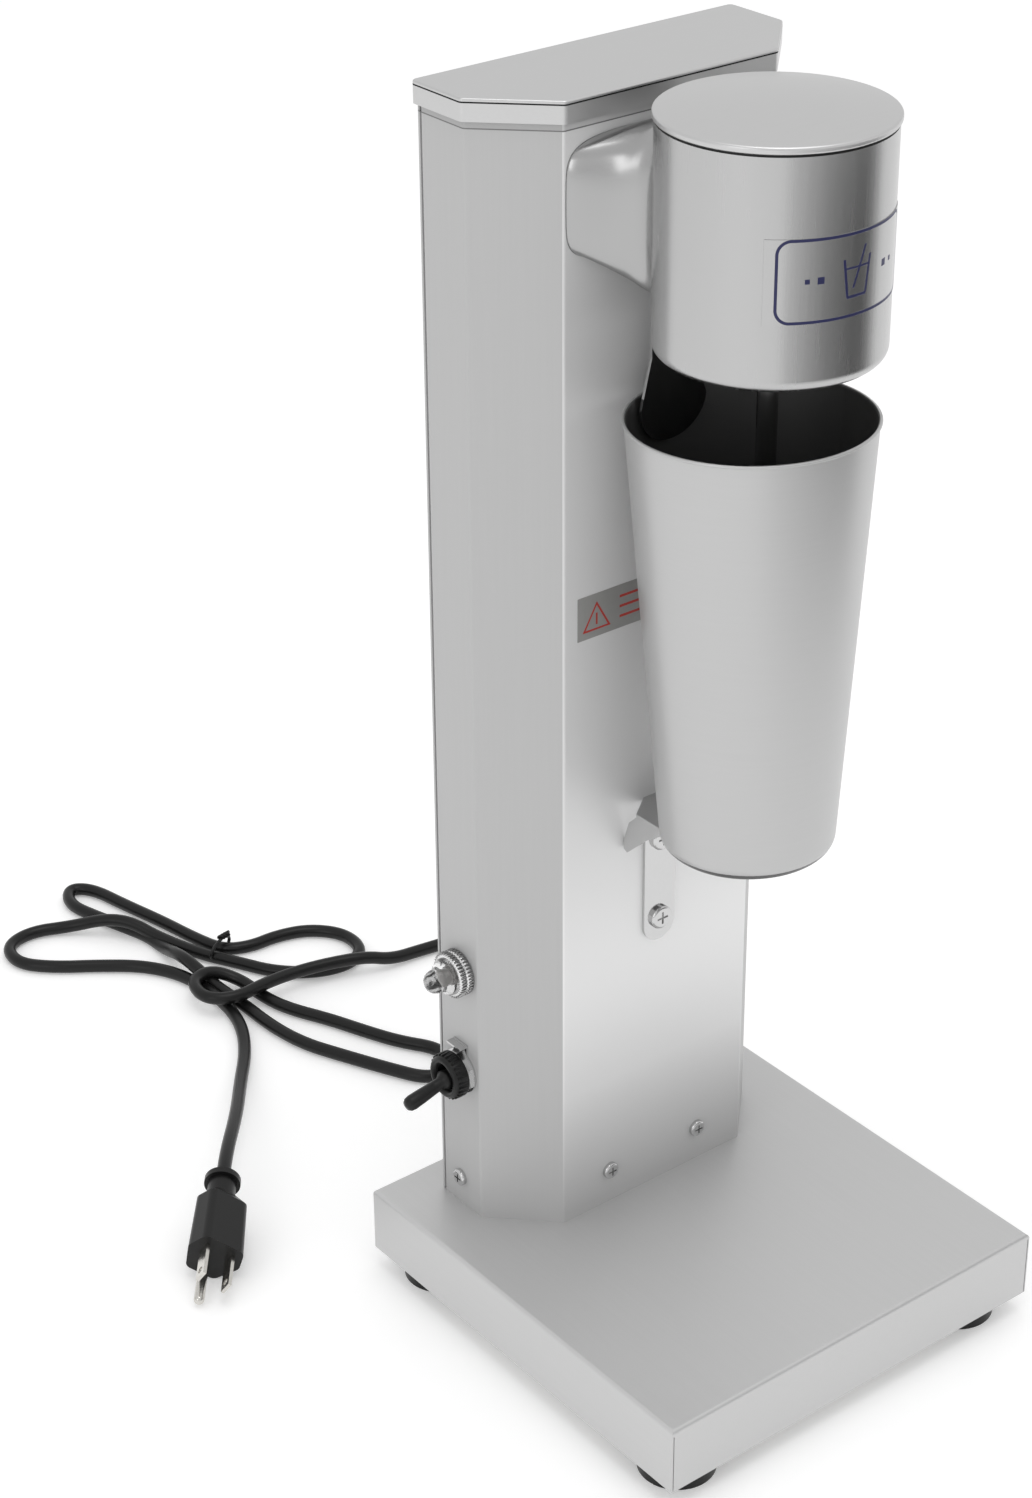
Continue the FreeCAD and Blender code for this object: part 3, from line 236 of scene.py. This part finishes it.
cupSet = {"foot": (-23.4, 236.8), "rim": (-18.3, 416.3), "radii": (33.8, 46.9), "floor": 0.4,
          "paintedInsideShade": 0.16}
capSet = {"seamHeight": (532.6, 533.2), "lineTone": 0.03, "lineRough": 0.3}
shellSet = {
    "seamHeight": (522.6, 523.1), "lineTone": 0.2, "stripShare": 0.35, "darkTone": 0.3,
    # the front's lighter tone, its band of sheen and its darker foot are painted light and shade
    "frontEdge": 30.5, "paintedFrontLight": 0.72,
    "sheenHeight": 160.0, "sheenReach": 50.0, "paintedSheenTone": 0.84,
    "foot": (105, 60, 0.55),  # top height, reach downwards, share
}
sheetTone, cupTone, headTone, brightTone = (0.5,) * 3, (0.53,) * 3, (0.5,) * 3, (0.6,) * 3
finishes = {
    "uprightSheet": steel("upright_sheet", (1.0, 1.0, 0.02), sheetTone, 0.5, metal=0.25, extra=shellSeamAndPaintedLight),
    "baseSheet": steel("base_sheet", (1.0, 0.02, 1.0), (0.6,) * 3, 0.4, metal=0.5),
    "capSheet": steel("cap_sheet", (0.02, 1.0, 1.0), (0.6,) * 3, 0.35, metal=0.9, extra=capSeamShadow),
    "lidSheet": steel("lid_sheet", (0.05, 1.0, 1.0), (0.6,) * 3, 0.35, metal=0.9),
    # painted shade: the neck's steel has a darker tone than the other sheets, standing in for its shading
    "neckSteel": steel("neck_steel", (1.0, 0.1, 1.0), (0.42,) * 3, 0.24, patch=0.06),
    "headSteel": steel("head_steel", (1.0, 1.0, 0.03), headTone, 0.26, spread=0.06, depth=0.03),
    "cupSteel": steel("cup_steel", (0.05, 0.05, 1.0), cupTone, 0.38, metal=0.8, spread=0.08, depth=0.05,
                      extra=cupInsidePaintedShade),
    "bright": steel("bright_steel", (1, 1, 1), brightTone, 0.14, spread=0.03, depth=0.01),
    "zinc": plain("zinc_plate", (0.55, 0.55, 0.53), 0.35, metal=1.0),
    "casting": plain("cast_aluminium", (0.5, 0.5, 0.5), 0.5, metal=1.0, depth=0.0002),
    "rubber": plain("black_rubber", (0.009,) * 3, 0.36, Specular_IOR_Level=0.3),
    "plastic": plain("black_plastic", (0.008,) * 3, 0.34, Specular_IOR_Level=0.3),
    "cordSkin": plain("cord_skin", (0.008,) * 3, 0.32, Specular_IOR_Level=0.3),
    "copper": plain("enamelled_copper", (0.55, 0.22, 0.08), 0.35, metal=1.0),
    "brass": plain("brass", (0.7, 0.52, 0.25), 0.3, metal=1.0),
    "iron": plain("varnished_iron", (0.12, 0.12, 0.13), 0.45, metal=0.8),
    "fibre": plain("fibre_block", (0.6, 0.55, 0.45), 0.5),
    "carbon": plain("carbon", (0.03, 0.03, 0.03), 0.6),
    "pins": plain("nickel_blade", (0.72, 0.70, 0.66), 0.2, metal=1.0),
}


def glassFinish():
    f = Finish("clear_lens")
    grain = f.noise(f.place(), 300)
    f.set(Base_Color=f.mix(grain, (0.8, 0.8, 0.8, 1), (0.86, 0.86, 0.86, 1)), Roughness=grain * 0.05 + 0.02,
          Transmission_Weight=1.0, IOR=1.49)
    f.bump(grain * 0.0003, 1.0, 0.4)
    return f.material


def knurlFinish(s, p):
    f = Finish("knurled_collar")
    x, y, z = f.axes()
    angle = (y - p["y"] * mm).math("ARCTAN2", z - p["lamp"] * mm)
    groove = (angle * s["ribs"]).math("COSINE")
    out = abs(x - (p["x"] - 3.25) * mm)
    # painted shade in the grooves between the knurl's ribs
    shade = (groove * 0.45 + 0.3).math("MAXIMUM", 0.0) * out.between(0.5 * mm, 2.9 * mm)
    f.set(Metallic=1.0, Base_Color=f.mix(shade, (0.72, 0.72, 0.72, 1), (0.05, 0.05, 0.05, 1)),
          Roughness=0.16)
    f.bump(groove * -0.0002, 1.0, 0.3)
    return f.material


def bulbFinish():
    f = Finish("neon_bulb")
    grain = f.noise(f.place(), 500)
    f.set(Base_Color=f.mix(grain, (0.3, 0.29, 0.28, 1), (0.4, 0.39, 0.38, 1)), Roughness=grain * 0.1 + 0.12)
    return f.material


def boxDistance(u, v, halfWide, halfHigh, corner):
    # distance from a rounded rectangle's edge, below zero inside it
    a = (abs(u) - (halfWide - corner)).largest(0.0)
    b = (abs(v) - (halfHigh - corner)).largest(0.0)
    return (a * a + b * b).math("SQRT") - corner


emblemSet = {"centre": (0.0, -26.5, 487.2), "radius": 43.25, "frame": (30.9, 14.9, 5), "line": 0.55,
             "ink": (0.012, 0.014, 0.075, 1)}


def emblemFinish(s):
    # a plain tumbler with a straw in a rounded frame, inked on the steel
    f = Finish("emblem")
    x, y, z = f.axes()
    around = x.math("ARCTAN2", (y - s["centre"][1] * mm) * -1)
    u = around * s["radius"]
    v = (z - s["centre"][2] * mm) * 1000
    wide, high, corner = s["frame"]
    outer = boxDistance(u, v, wide, high, corner)
    frameLine = abs(outer) < s["line"]
    half = (v + 8) * 0.13 + 4.2  # the tumbler is wider at its rim
    tumbler = (abs(abs(u) - half) < s["line"]) * v.between(-8, 6)
    tumbler = tumbler.largest((abs(v + 8) < s["line"]) * (abs(u) < 4.4))
    tumbler = tumbler.largest((abs(v - 2.5) < 0.4) * (abs(u) < 5.2))
    straw = (abs(u - v * 0.35) < 0.5) * v.between(-5, 10)
    beads = (abs(abs(u) - 15) < 1.3) * (abs(v) < 1.3)
    beads = beads.largest((abs(abs(u) - 20) < 0.9) * (abs(v) < 0.9))
    ink = frameLine.largest(tumbler).largest(straw).largest(beads)
    fine = f.noise(f.stretched((1.0, 1.0, 0.03)), 900, detail=4)
    dark = tuple(t * 0.955 for t in headTone)
    f.set(Base_Color=f.mix(ink, f.mix(fine, (*dark, 1), (*headTone, 1)), s["ink"]),
          Metallic=1 - ink * 0.9, Roughness=fine * 0.06 + 0.21 + ink * 0.15)
    f.bump(fine * 0.03 - ink * 0.1, 0.001, 0.35)
    return f.material


stickerSet = {"triangle": (-33.5, 320.6, 13.2), "bars": (323.0, 327.3, 331.6),
              "ink": (0.42, 0.03, 0.02, 1)}


def stickerFinish(s):
    # a red triangle with a stroke in it, and three plain bars, on silver film
    f = Finish("sticker_film")
    x, y, z = f.axes()
    middle, foot, tall = s["triangle"]
    u = abs(x * 1000 - middle)
    v = z * 1000 - foot
    slope = tall / 7.6
    edge = (v - tall + u * slope) * (1 / math.sqrt(1 + slope * slope))
    outside = edge.largest(v * -1)
    ink = (abs(outside + 0.75) < 0.42).largest((u < 0.45) * v.between(2.6, 7.6))
    across = x * 1000
    gaps = f.noise(f.stretched((1, 1, 0.01)), 160, detail=1) > 0.36
    for height in s["bars"]:
        ink = ink.largest((abs(z * 1000 - height) < 0.55) * across.between(-22, 14) * gaps)
    grain = f.noise(f.place(), 400)
    film = f.mix(grain, (0.36, 0.36, 0.35, 1), (0.41, 0.41, 0.40, 1))
    f.set(Base_Color=f.mix(ink, film, s["ink"]), Metallic=0.55 - ink * 0.55, Roughness=grain * 0.1 + 0.38)
    return f.material


finishes["glass"] = glassFinish()
finishes["bulb"] = bulbFinish()
finishes["emblem"] = emblemFinish(emblemSet)
finishes["sticker"] = stickerFinish(stickerSet)
print("finishes made")

cordSet = {
    "diameter": 6.4,
    "length": 1.58,
    "route": [
        (20, 80, 66), (20, 124, 66), (35, 163, 46), (62.5, 191.3, 18), (97.4, 214.1, 3.2),
        (119.5, 247.1, 3.2),
        (101.5, 282.2, 3.2), (65, 288.4, 3.4), (46.9, 289.4, 4.6), (33.2, 292.7, 9.9), (14.6, 299.6, 9.9),
        (-3.7, 303.8, 9.8), (-21.1, 304.5, 9.9), (-39.4, 302.6, 9.9), (-51.6, 312.4, 9.8), (-48, 329.6, 9.8),
        (-34.9, 331.9, 9.9), (-23.9, 322, 5), (-22.2, 303.4, 3.2), (-18.4, 286.8, 3.2), (-8, 266.4, 3.2),
        (-0.6, 247.6, 3.2), (7.5, 229.2, 3.2), (19.6, 212.1, 3.2), (16.5, 195.1, 3.2), (0.3, 194.1, 3.2),
        (-10.6, 214.9, 3.2), (-21, 237.1, 3.2), (-29.9, 257, 3.2), (-33.7, 279.7, 3.2), (-33.7, 304.5, 3.2),
        (-35.8, 326.6, 3.4), (-38.9, 342.1, 9.8), (-39.2, 355.1, 9.6), (-36.8, 371.4, 3.2),
        (-37.3, 387.2, 3.2),
        (-42, 402.9, 3.2), (-48, 420.4, 3.2), (-53.1, 439.3, 3.2), (-45.7, 453.4, 3.2), (-35.4, 445.7, 3.2),
        (-30.2, 420.4, 3.2), (-23.8, 394.6, 3.2), (-19.5, 371.1, 3.2), (-14.2, 352.6, 3.2),
        (-1.1, 346.1, 3.2),
        (14.4, 346.2, 3.2), (31.4, 340.6, 3.2), (43.5, 325.6, 3.2), (41.9, 307.6, 3.2), (28.4, 300.5, 3.2),
        (9.9, 305.7, 3.2), (-5.3, 319.3, 3.2), (-15, 338, 3.2), (-26, 357.5, 3.4), (-35.1, 381, 5),
        (-41.8, 395.2, 9.9), (-50.9, 406.4, 9.9), (-63.8, 419.5, 4), (-82.3, 429.4, 3.2),
        (-99.7, 424.7, 3.2),
        (-103, 407.3, 3.2), (-90.1, 392.6, 3.2), (-71.9, 379.9, 3.2), (-54.1, 365.3, 3.2), (-43.5, 347, 3.2),
        (-40.1, 325.7, 3.2), (-41.1, 304.6, 3.2), (-46, 286.5, 3.2), (-56.9, 267.8, 3.2), (-74.9, 245, 6.5),
        (-95.9, 215.8, 14.5), (-123.2, 183.6, 20.9), (-133, 171, 18.7),
    ],
}


def curveLine(name, route, order=3, closed=False):
    data = bpy.data.curves.new(name, "CURVE")
    data.dimensions = "3D"
    data.resolution_u = 12
    spline = data.splines.new("NURBS")
    spline.points.add(len(route) - 1)
    for point, place in zip(spline.points, route):
        point.co = (*[v * mm for v in place], 1)
    spline.order_u = order
    spline.use_cyclic_u = closed
    spline.use_endpoint_u = not closed
    return data


def curvePiece(name, data, radius, finish):
    data.bevel_depth = radius * mm
    data.bevel_resolution = 6
    data.use_fill_caps = True
    data.materials.append(finishes[finish])
    piece = bpy.data.objects.new(name, data)
    bpy.context.collection.objects.link(piece)
    return piece


def makeCord(s):
    return curvePiece("power_cord_flex", curveLine("power_cord_line", s["route"]), s["diameter"] / 2,
                      "cordSkin")


tieSet = {"middle": (-15.8, 352.3, 5.4), "turn": 27, "half": (9.4, 4.3), "wire": 0.85, "turns": 1.25}


def makeTie(s):
    # a coated wire: once round the strands, with its two ends twisted together
    cx, cy, cz = s["middle"]
    angle = math.radians(s["turn"])
    along = Vector((math.cos(angle), math.sin(angle), 0))
    side = Vector((-math.sin(angle), math.cos(angle), 0))
    wide, high = s["half"]
    top = Vector((cx, cy, cz + high))

    def twist(k, start):
        turn = k * s["turns"] + start
        return (top + along * (k * 0.35) + side * (math.cos(turn) * 1.0 - 0.4 * k)
                + Vector((0, 0, 1.2 + math.sin(turn) * 1.0 + k * 0.25)))

    points = [twist(k, 0.0) for k in range(9, -1, -1)]
    for k in range(1, 16):
        turn = 2 * math.pi * k / 16
        points.append(Vector((cx, cy, cz)) + along * (math.sin(turn) * wide)
                      + Vector((0, 0, math.cos(turn) * high)))
    points += [twist(k, math.pi) for k in range(10)]
    return curvePiece("cord_tie_wire", curveLine("cord_tie_line", points), s["wire"], "plastic")


cord = makeCord(cordSet)
tie = makeTie(tieSet)
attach(tie, "stand")
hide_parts("cord_tie")
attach(cord, "stand")
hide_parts("power_cord", "cord_bundle")
[tie] + [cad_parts[n] for n in ("plug_body", "plug_blades", "strain_relief")]
print("cord laid")


def meshPiece(name, work, finish, smooth=True):
    bmesh.ops.remove_doubles(work, verts=work.verts, dist=1e-6)
    bmesh.ops.recalc_face_normals(work, faces=work.faces)
    mesh = bpy.data.meshes.new(name)
    work.to_mesh(mesh)
    work.free()
    if smooth:
        for face in mesh.polygons:
            face.use_smooth = True
    mesh.materials.append(finishes[finish])
    piece = bpy.data.objects.new(name, mesh)
    bpy.context.collection.objects.link(piece)
    return piece


def turned(name, profile, start, axis, finish, steps=64):
    # a turned solid: profile rows are (along the axis, radius) in mm, and the ends are closed
    work = bmesh.new()
    axis = Vector(axis).normalized()
    side = axis.orthogonal().normalized()
    up = axis.cross(side)
    rings = []
    for along, radius in profile:
        centre = Vector(start) + axis * along
        if radius < 1e-4:
            rings.append([work.verts.new(centre * mm)])
            continue
        rings.append([work.verts.new((centre + (side * math.cos(a) + up * math.sin(a)) * radius) * mm)
                      for a in (2 * math.pi * k / steps for k in range(steps))])
    for first, second in zip(rings, rings[1:]):
        for k in range(steps):
            corners = [first[k % len(first)], first[(k + 1) % len(first)],
                       second[(k + 1) % len(second)], second[k % len(second)]]
            work.faces.new(list(dict.fromkeys(corners)))
    return meshPiece(name, work, finish)


def finishModifiers(piece):
    # keeps what the modifiers make as a plain mesh
    bpy.context.view_layer.update()
    result = bpy.data.meshes.new_from_object(piece.evaluated_get(bpy.context.evaluated_depsgraph_get()))
    piece.modifiers.clear()
    piece.data = result
    return piece


def stands(piece, body, slot, *nodes):
    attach(piece, body)
    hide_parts(*nodes)


neckSet = {
    # distance out along y, half width, lowest and highest z, squareness
    "sections": [(29.9, 49.0, 472.0, 519.5, 5.0), (28.6, 48.6, 471.6, 519.8, 4.6),
                 (25.5, 46.2, 468.5, 521.5, 3.8),
                 (21.0, 41.8, 464.5, 523.5, 3.4), (16.5, 37.6, 461.0, 525.2, 3.2),
                 (13.0, 35.2, 459.2, 526.2, 3.4),
                 (10.5, 33.2, 458.4, 526.8, 3.6), (7.0, 31.6, 457.8, 527.2, 3.4),
                 (3.0, 31.8, 457.2, 527.6, 3.4),
                 (-0.5, 33.6, 456.8, 527.8, 3.6), (-4.0, 35.0, 456.6, 528.0, 4.0),
                 (-9.0, 35.0, 456.6, 528.0, 4.0)],
    "sheet": 1.2, "steps": 72,
}


def makeNeck(s):
    work = bmesh.new()
    rings = []
    for y, half, low, high, square in s["sections"]:
        middle, tall = (low + high) / 2, (high - low) / 2
        ringVerts = []
        for k in range(s["steps"]):
            a = 2 * math.pi * k / s["steps"]
            c, d = math.cos(a), math.sin(a)
            x = math.copysign(abs(c) ** (2 / square), c) * half
            z = math.copysign(abs(d) ** (2 / square), d) * tall + middle
            ringVerts.append(work.verts.new((x * mm, y * mm, z * mm)))
        rings.append(ringVerts)
    for first, second in zip(rings, rings[1:]):
        for k in range(s["steps"]):
            n = (k + 1) % s["steps"]
            work.faces.new((first[k], first[n], second[n], second[k]))
    piece = meshPiece("neck_pressing", work, "neckSteel")
    sub = piece.modifiers.new("soften", "SUBSURF")
    sub.levels = sub.render_levels = 1
    wall = piece.modifiers.new("wall", "SOLIDIFY")
    wall.thickness = s["sheet"] * mm
    wall.offset = -1
    return finishModifiers(piece)


stands(makeNeck(neckSet), "stand", "brushed_sheet", "neck_housing")
print("neck pressed")


def ribTree(name):
    # a ring of round ribs along X, joined to the piece's own mesh
    tree = bpy.data.node_groups.new(name, "GeometryNodeTree")
    tree.is_modifier = True
    tree.interface.new_socket("Geometry", in_out="OUTPUT", socket_type="NodeSocketGeometry")
    for label, kind in (("Geometry", "Geometry"), ("Count", "Int"), ("Ring radius", "Float"),
                        ("Rib radius", "Float"), ("Rib length", "Float"), ("Centre", "Vector"),
                        ("Finish", "Material")):
        tree.interface.new_socket(label, in_out="INPUT", socket_type="NodeSocket" + kind)

    def add(kind, settings=None, **links):
        node = tree.nodes.new(kind)
        for key, item in (settings or {}).items():
            setattr(node, key, item)
        for key, item in links.items():
            target = node.inputs[key.replace("_", " ")]
            if hasattr(item, "links"):
                tree.links.new(item, target)
            else:
                target.default_value = item
        return node

    given = add("NodeGroupInput").outputs
    circle = add("GeometryNodeMeshCircle", Vertices=given["Count"], Radius=given["Ring radius"])
    rib = add("GeometryNodeMeshCylinder", Vertices=8, Radius=given["Rib radius"], Depth=given["Rib length"])
    ribs = add("GeometryNodeInstanceOnPoints", Points=circle.outputs[0], Instance=rib.outputs[0])
    placed = add("GeometryNodeTransform", Geometry=ribs.outputs[0], Translation=given["Centre"],
                 Rotation=(0, math.radians(-90), 0))
    joined = add("GeometryNodeJoinGeometry")
    tree.links.new(given["Geometry"], joined.inputs[0])
    tree.links.new(placed.outputs[0], joined.inputs[0])
    real = add("GeometryNodeRealizeInstances", Geometry=joined.outputs[0])
    coated = add("GeometryNodeSetMaterial", Geometry=real.outputs[0], Material=given["Finish"])
    tree.links.new(coated.outputs[0], add("NodeGroupOutput").inputs[0])
    return tree


def addRibs(piece, tree, finish, **sizes):
    modifier = piece.modifiers.new("ribs", "NODES")
    modifier.node_group = tree
    sizes["Finish"] = finishes[finish]
    for item in tree.interface.items_tree:
        key = item.name.replace(" ", "_")
        if item.in_out == "INPUT" and key in sizes:
            modifier[item.identifier] = sizes[key]
    return finishModifiers(piece)


panelPlace = {"x": -75.0, "y": 67.0, "lamp": 161.3, "switch": 111.7}
lampSet = {
    "collar": [(0, 5.9), (0, 9.6), (2.7, 9.6), (2.9, 9.0), (3.5, 9.0), (3.7, 9.5), (6.0, 9.4),
               (6.5, 8.6), (6.5, 5.9),
               (0, 5.9)],
    "ribs": 40, "ribRadius": 0.42, "ribRing": 9.75, "ribRows": ((1.35, 2.3), (4.85, 2.2)),
    "lens": [(5.8, 0), (5.8, 8.2), (7.0, 8.2), (8.4, 7.7), (9.6, 6.9), (10.4, 5.9), (11.2, 5.3), (13.6, 5.0),
             (15.4, 4.4), (16.6, 3.3), (17.3, 1.8), (17.6, 0)],
}


def makeLamp(s, p):
    spot = (p["x"], p["y"], p["lamp"])
    collar = turned("lamp_collar", s["collar"], spot, (-1, 0, 0), "knurl", 80)
    tree = ribTree("collar_ribs")
    for start, length in s["ribRows"]:
        addRibs(collar, tree, "knurl", Count=s["ribs"], Ring_radius=s["ribRing"] * mm,
                Rib_radius=s["ribRadius"] * mm, Rib_length=length * mm,
                Centre=((p["x"] - start) * mm, p["y"] * mm, p["lamp"] * mm))
    stands(collar, "stand", "polished_steel", "lamp_bezel")
    lens = turned("lamp_dome", s["lens"], spot, (-1, 0, 0), "glass", 64)
    stands(lens, "stand", "clear_lens", "lamp_lens")


finishes["knurl"] = knurlFinish(lampSet, panelPlace)
makeLamp(lampSet, panelPlace)

toggleSet = {
    "nut": [(3.6, 6.1), (3.6, 10.0), (4.2, 10.3), (9.6, 9.3), (10.4, 8.5), (10.5, 7.4), (9.6, 6.6),
            (8.8, 6.2),
            (8.6, 6.1), (3.6, 6.1)],
    "ribs": 26, "ribRadius": 0.55, "ribRing": 9.75, "ribRow": (6.6, 4.6),
    "restAngle": 12.0, "pivot": 2.0,
    "lever": [(0, 0), (0.2, 3.4), (3.0, 3.5), (6.0, 4.3), (7.6, 4.6), (8.8, 3.5), (10.0, 2.7),
              (14.0, 2.85), (20.0, 3.2),
              (25.0, 3.35), (26.8, 3.0), (27.9, 2.1), (28.3, 0)],
}


def makeToggle(s, p):
    spot = (p["x"], p["y"], p["switch"])
    nut = turned("boot_nut", s["nut"], spot, (-1, 0, 0), "rubber", 72)
    start, length = s["ribRow"]
    addRibs(nut, ribTree("boot_ribs"), "rubber", Count=s["ribs"], Ring_radius=s["ribRing"] * mm,
            Rib_radius=s["ribRadius"] * mm, Rib_length=length * mm,
            Centre=((p["x"] - start) * mm, p["y"] * mm, p["switch"] * mm))
    stands(nut, "stand", "black_rubber", "switch_boot_nut")
    angle = math.radians(s["restAngle"])
    pivot = (p["x"] - s["pivot"], p["y"], p["switch"])
    lever = turned("lever_boot", s["lever"], pivot, (-math.cos(angle), 0, -math.sin(angle)), "rubber", 40)
    stands(lever, "lever", "black_rubber", "switch_lever")


makeToggle(toggleSet, panelPlace)
print("lamp and toggle made")

# Parts that keep their shape get their finishes here
nodeFinish = {
    "uprightSheet": ["column_shell", "rear_cover"],
    "baseSheet": ["base_pan"],
    "capSheet": ["top_cap"],
    "lidSheet": ["motor_lid"],
    "headSteel": ["motor_housing"],
    "cupSteel": ["cup"],
    "bright": ["cup_rest", "cup_guide", "cup_rest_screws", "cup_guide_screws", "column_screws",
               "rear_cover_screws",
               "spindle_shaft", "motor_shaft", "agitator_discs", "switch_plate", "panel_nuts",
               "motor_bearings"],
    "zinc": ["base_bottom_plate", "foot_screws", "column_brackets", "hex_nuts", "neck_backing_plate",
             "neck_bolts",
             "housing_screws", "motor_through_bolts"],
    "casting": ["neck_arm", "lower_bearing_bracket", "upper_bearing_bracket"],
    "rubber": ["rubber_feet", "strain_relief", "lid_gasket", "spindle_seal"],
    "plastic": ["plug_body", "switch_body", "lamp_body", "cooling_fan", "suppression_capacitor",
                "motor_wiring"],
    "copper": ["field_coils", "armature_winding"],
    "brass": ["commutator", "brush_holders"],
    "iron": ["stator_core", "armature_core"],
    "fibre": ["terminal_block"],
    "carbon": ["brushes"],
    "pins": ["plug_blades"],
    "bulb": ["lamp_bulb"],
    "emblem": ["head_badge"],
    "sticker": ["safety_sticker"],
}
for finish, names in nodeFinish.items():
    for name in names:
        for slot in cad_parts[name].material_slots:
            slot.material = finishes[finish]

studioSet = {
    "floorSize": 60.0, "floorGlow": 0.25, "world": 0.82,
    "lights": {"top_box": ((0.0, -0.2, 2.2), (0, 0, 0.2), (1.2, 1.2), 8),
               "left_box": ((-2.2, -0.6, 1.2), (0, 0, 0.25), (0.8, 1.2), 4)},
    "flag": {"radius": 0.55, "from": -120, "to": -22, "low": 0.13, "high": 0.42,
             "tones": ((0.0, 0.85), (0.14, 0.62), (0.4, 0.27), (0.72, 0.1), (0.84, 0.14), (1.0, 0.85))},
}


def makeFloor(s):
    f = Finish("pale_floor")
    grain = f.noise(f.place(), 40)
    f.set(Base_Color=f.mix(grain, (0.87, 0.87, 0.87, 1), (0.89, 0.89, 0.89, 1)),
          Roughness=grain * 0.1 + 0.75,
          Emission_Color=(1, 1, 1, 1), Emission_Strength=s["floorGlow"])
    mesh = bpy.data.meshes.new("floor")
    half = s["floorSize"] / 2
    mesh.from_pydata([(-half, -half, 0), (half, -half, 0), (half, half, 0), (-half, half, 0)], [],
                     [(0, 1, 2, 3)])
    mesh.materials.append(f.material)
    floor = bpy.data.objects.new("floor", mesh)
    bpy.context.collection.objects.link(floor)


def makeFlag(s):
    # a curved grey card to the front right, seen only as a soft dark band on the round head
    f = Finish("flag_card")
    x, y, z = f.axes()
    angle = y.math("ARCTAN2", x) * (180 / math.pi)
    along = (angle - s["from"]) * (1 / (s["to"] - s["from"]))
    tone = f.node("ShaderNodeValToRGB", {"stops": [(at, (t, t, t)) for at, t in s["tones"]]}, Fac=along)
    f.set(Base_Color=(0, 0, 0, 1), Emission_Color=tone, Emission_Strength=1.0, Roughness=1.0,
          Specular_IOR_Level=0.0)
    steps = 48
    verts, faces = [], []
    for k in range(steps + 1):
        a = math.radians(s["from"] + (s["to"] - s["from"]) * k / steps)
        for height in (s["low"], s["high"]):
            verts.append((s["radius"] * math.cos(a), s["radius"] * math.sin(a), height))
    for k in range(steps):
        faces.append((2 * k, 2 * k + 2, 2 * k + 3, 2 * k + 1))
    mesh = bpy.data.meshes.new("flag")
    mesh.from_pydata(verts, [], faces)
    mesh.materials.append(f.material)
    flag = bpy.data.objects.new("flag", mesh)
    bpy.context.collection.objects.link(flag)
    flag.visible_camera = flag.visible_shadow = flag.visible_diffuse = False


def softbox(name, place, target, size, watts):
    data = bpy.data.lights.new(name, "AREA")
    data.shape = "RECTANGLE"
    data.size, data.size_y = size
    data.energy = watts
    lamp = bpy.data.objects.new(name, data)
    bpy.context.collection.objects.link(lamp)
    lamp.location = place
    lamp.rotation_euler = (Vector(target) - Vector(place)).to_track_quat("-Z", "Y").to_euler()


makeFloor(studioSet)
makeFlag(studioSet["flag"])
for name, settings in studioSet["lights"].items():
    softbox(name, *settings)
world = bpy.data.worlds.new("studio")
world.use_nodes = True
world.node_tree.nodes["Background"].inputs[0].default_value = (1, 1, 1, 1)
world.node_tree.nodes["Background"].inputs[1].default_value = studioSet["world"]
bpy.context.scene.world = world
bpy.context.scene.view_settings.view_transform = "Standard"
print("studio lit")
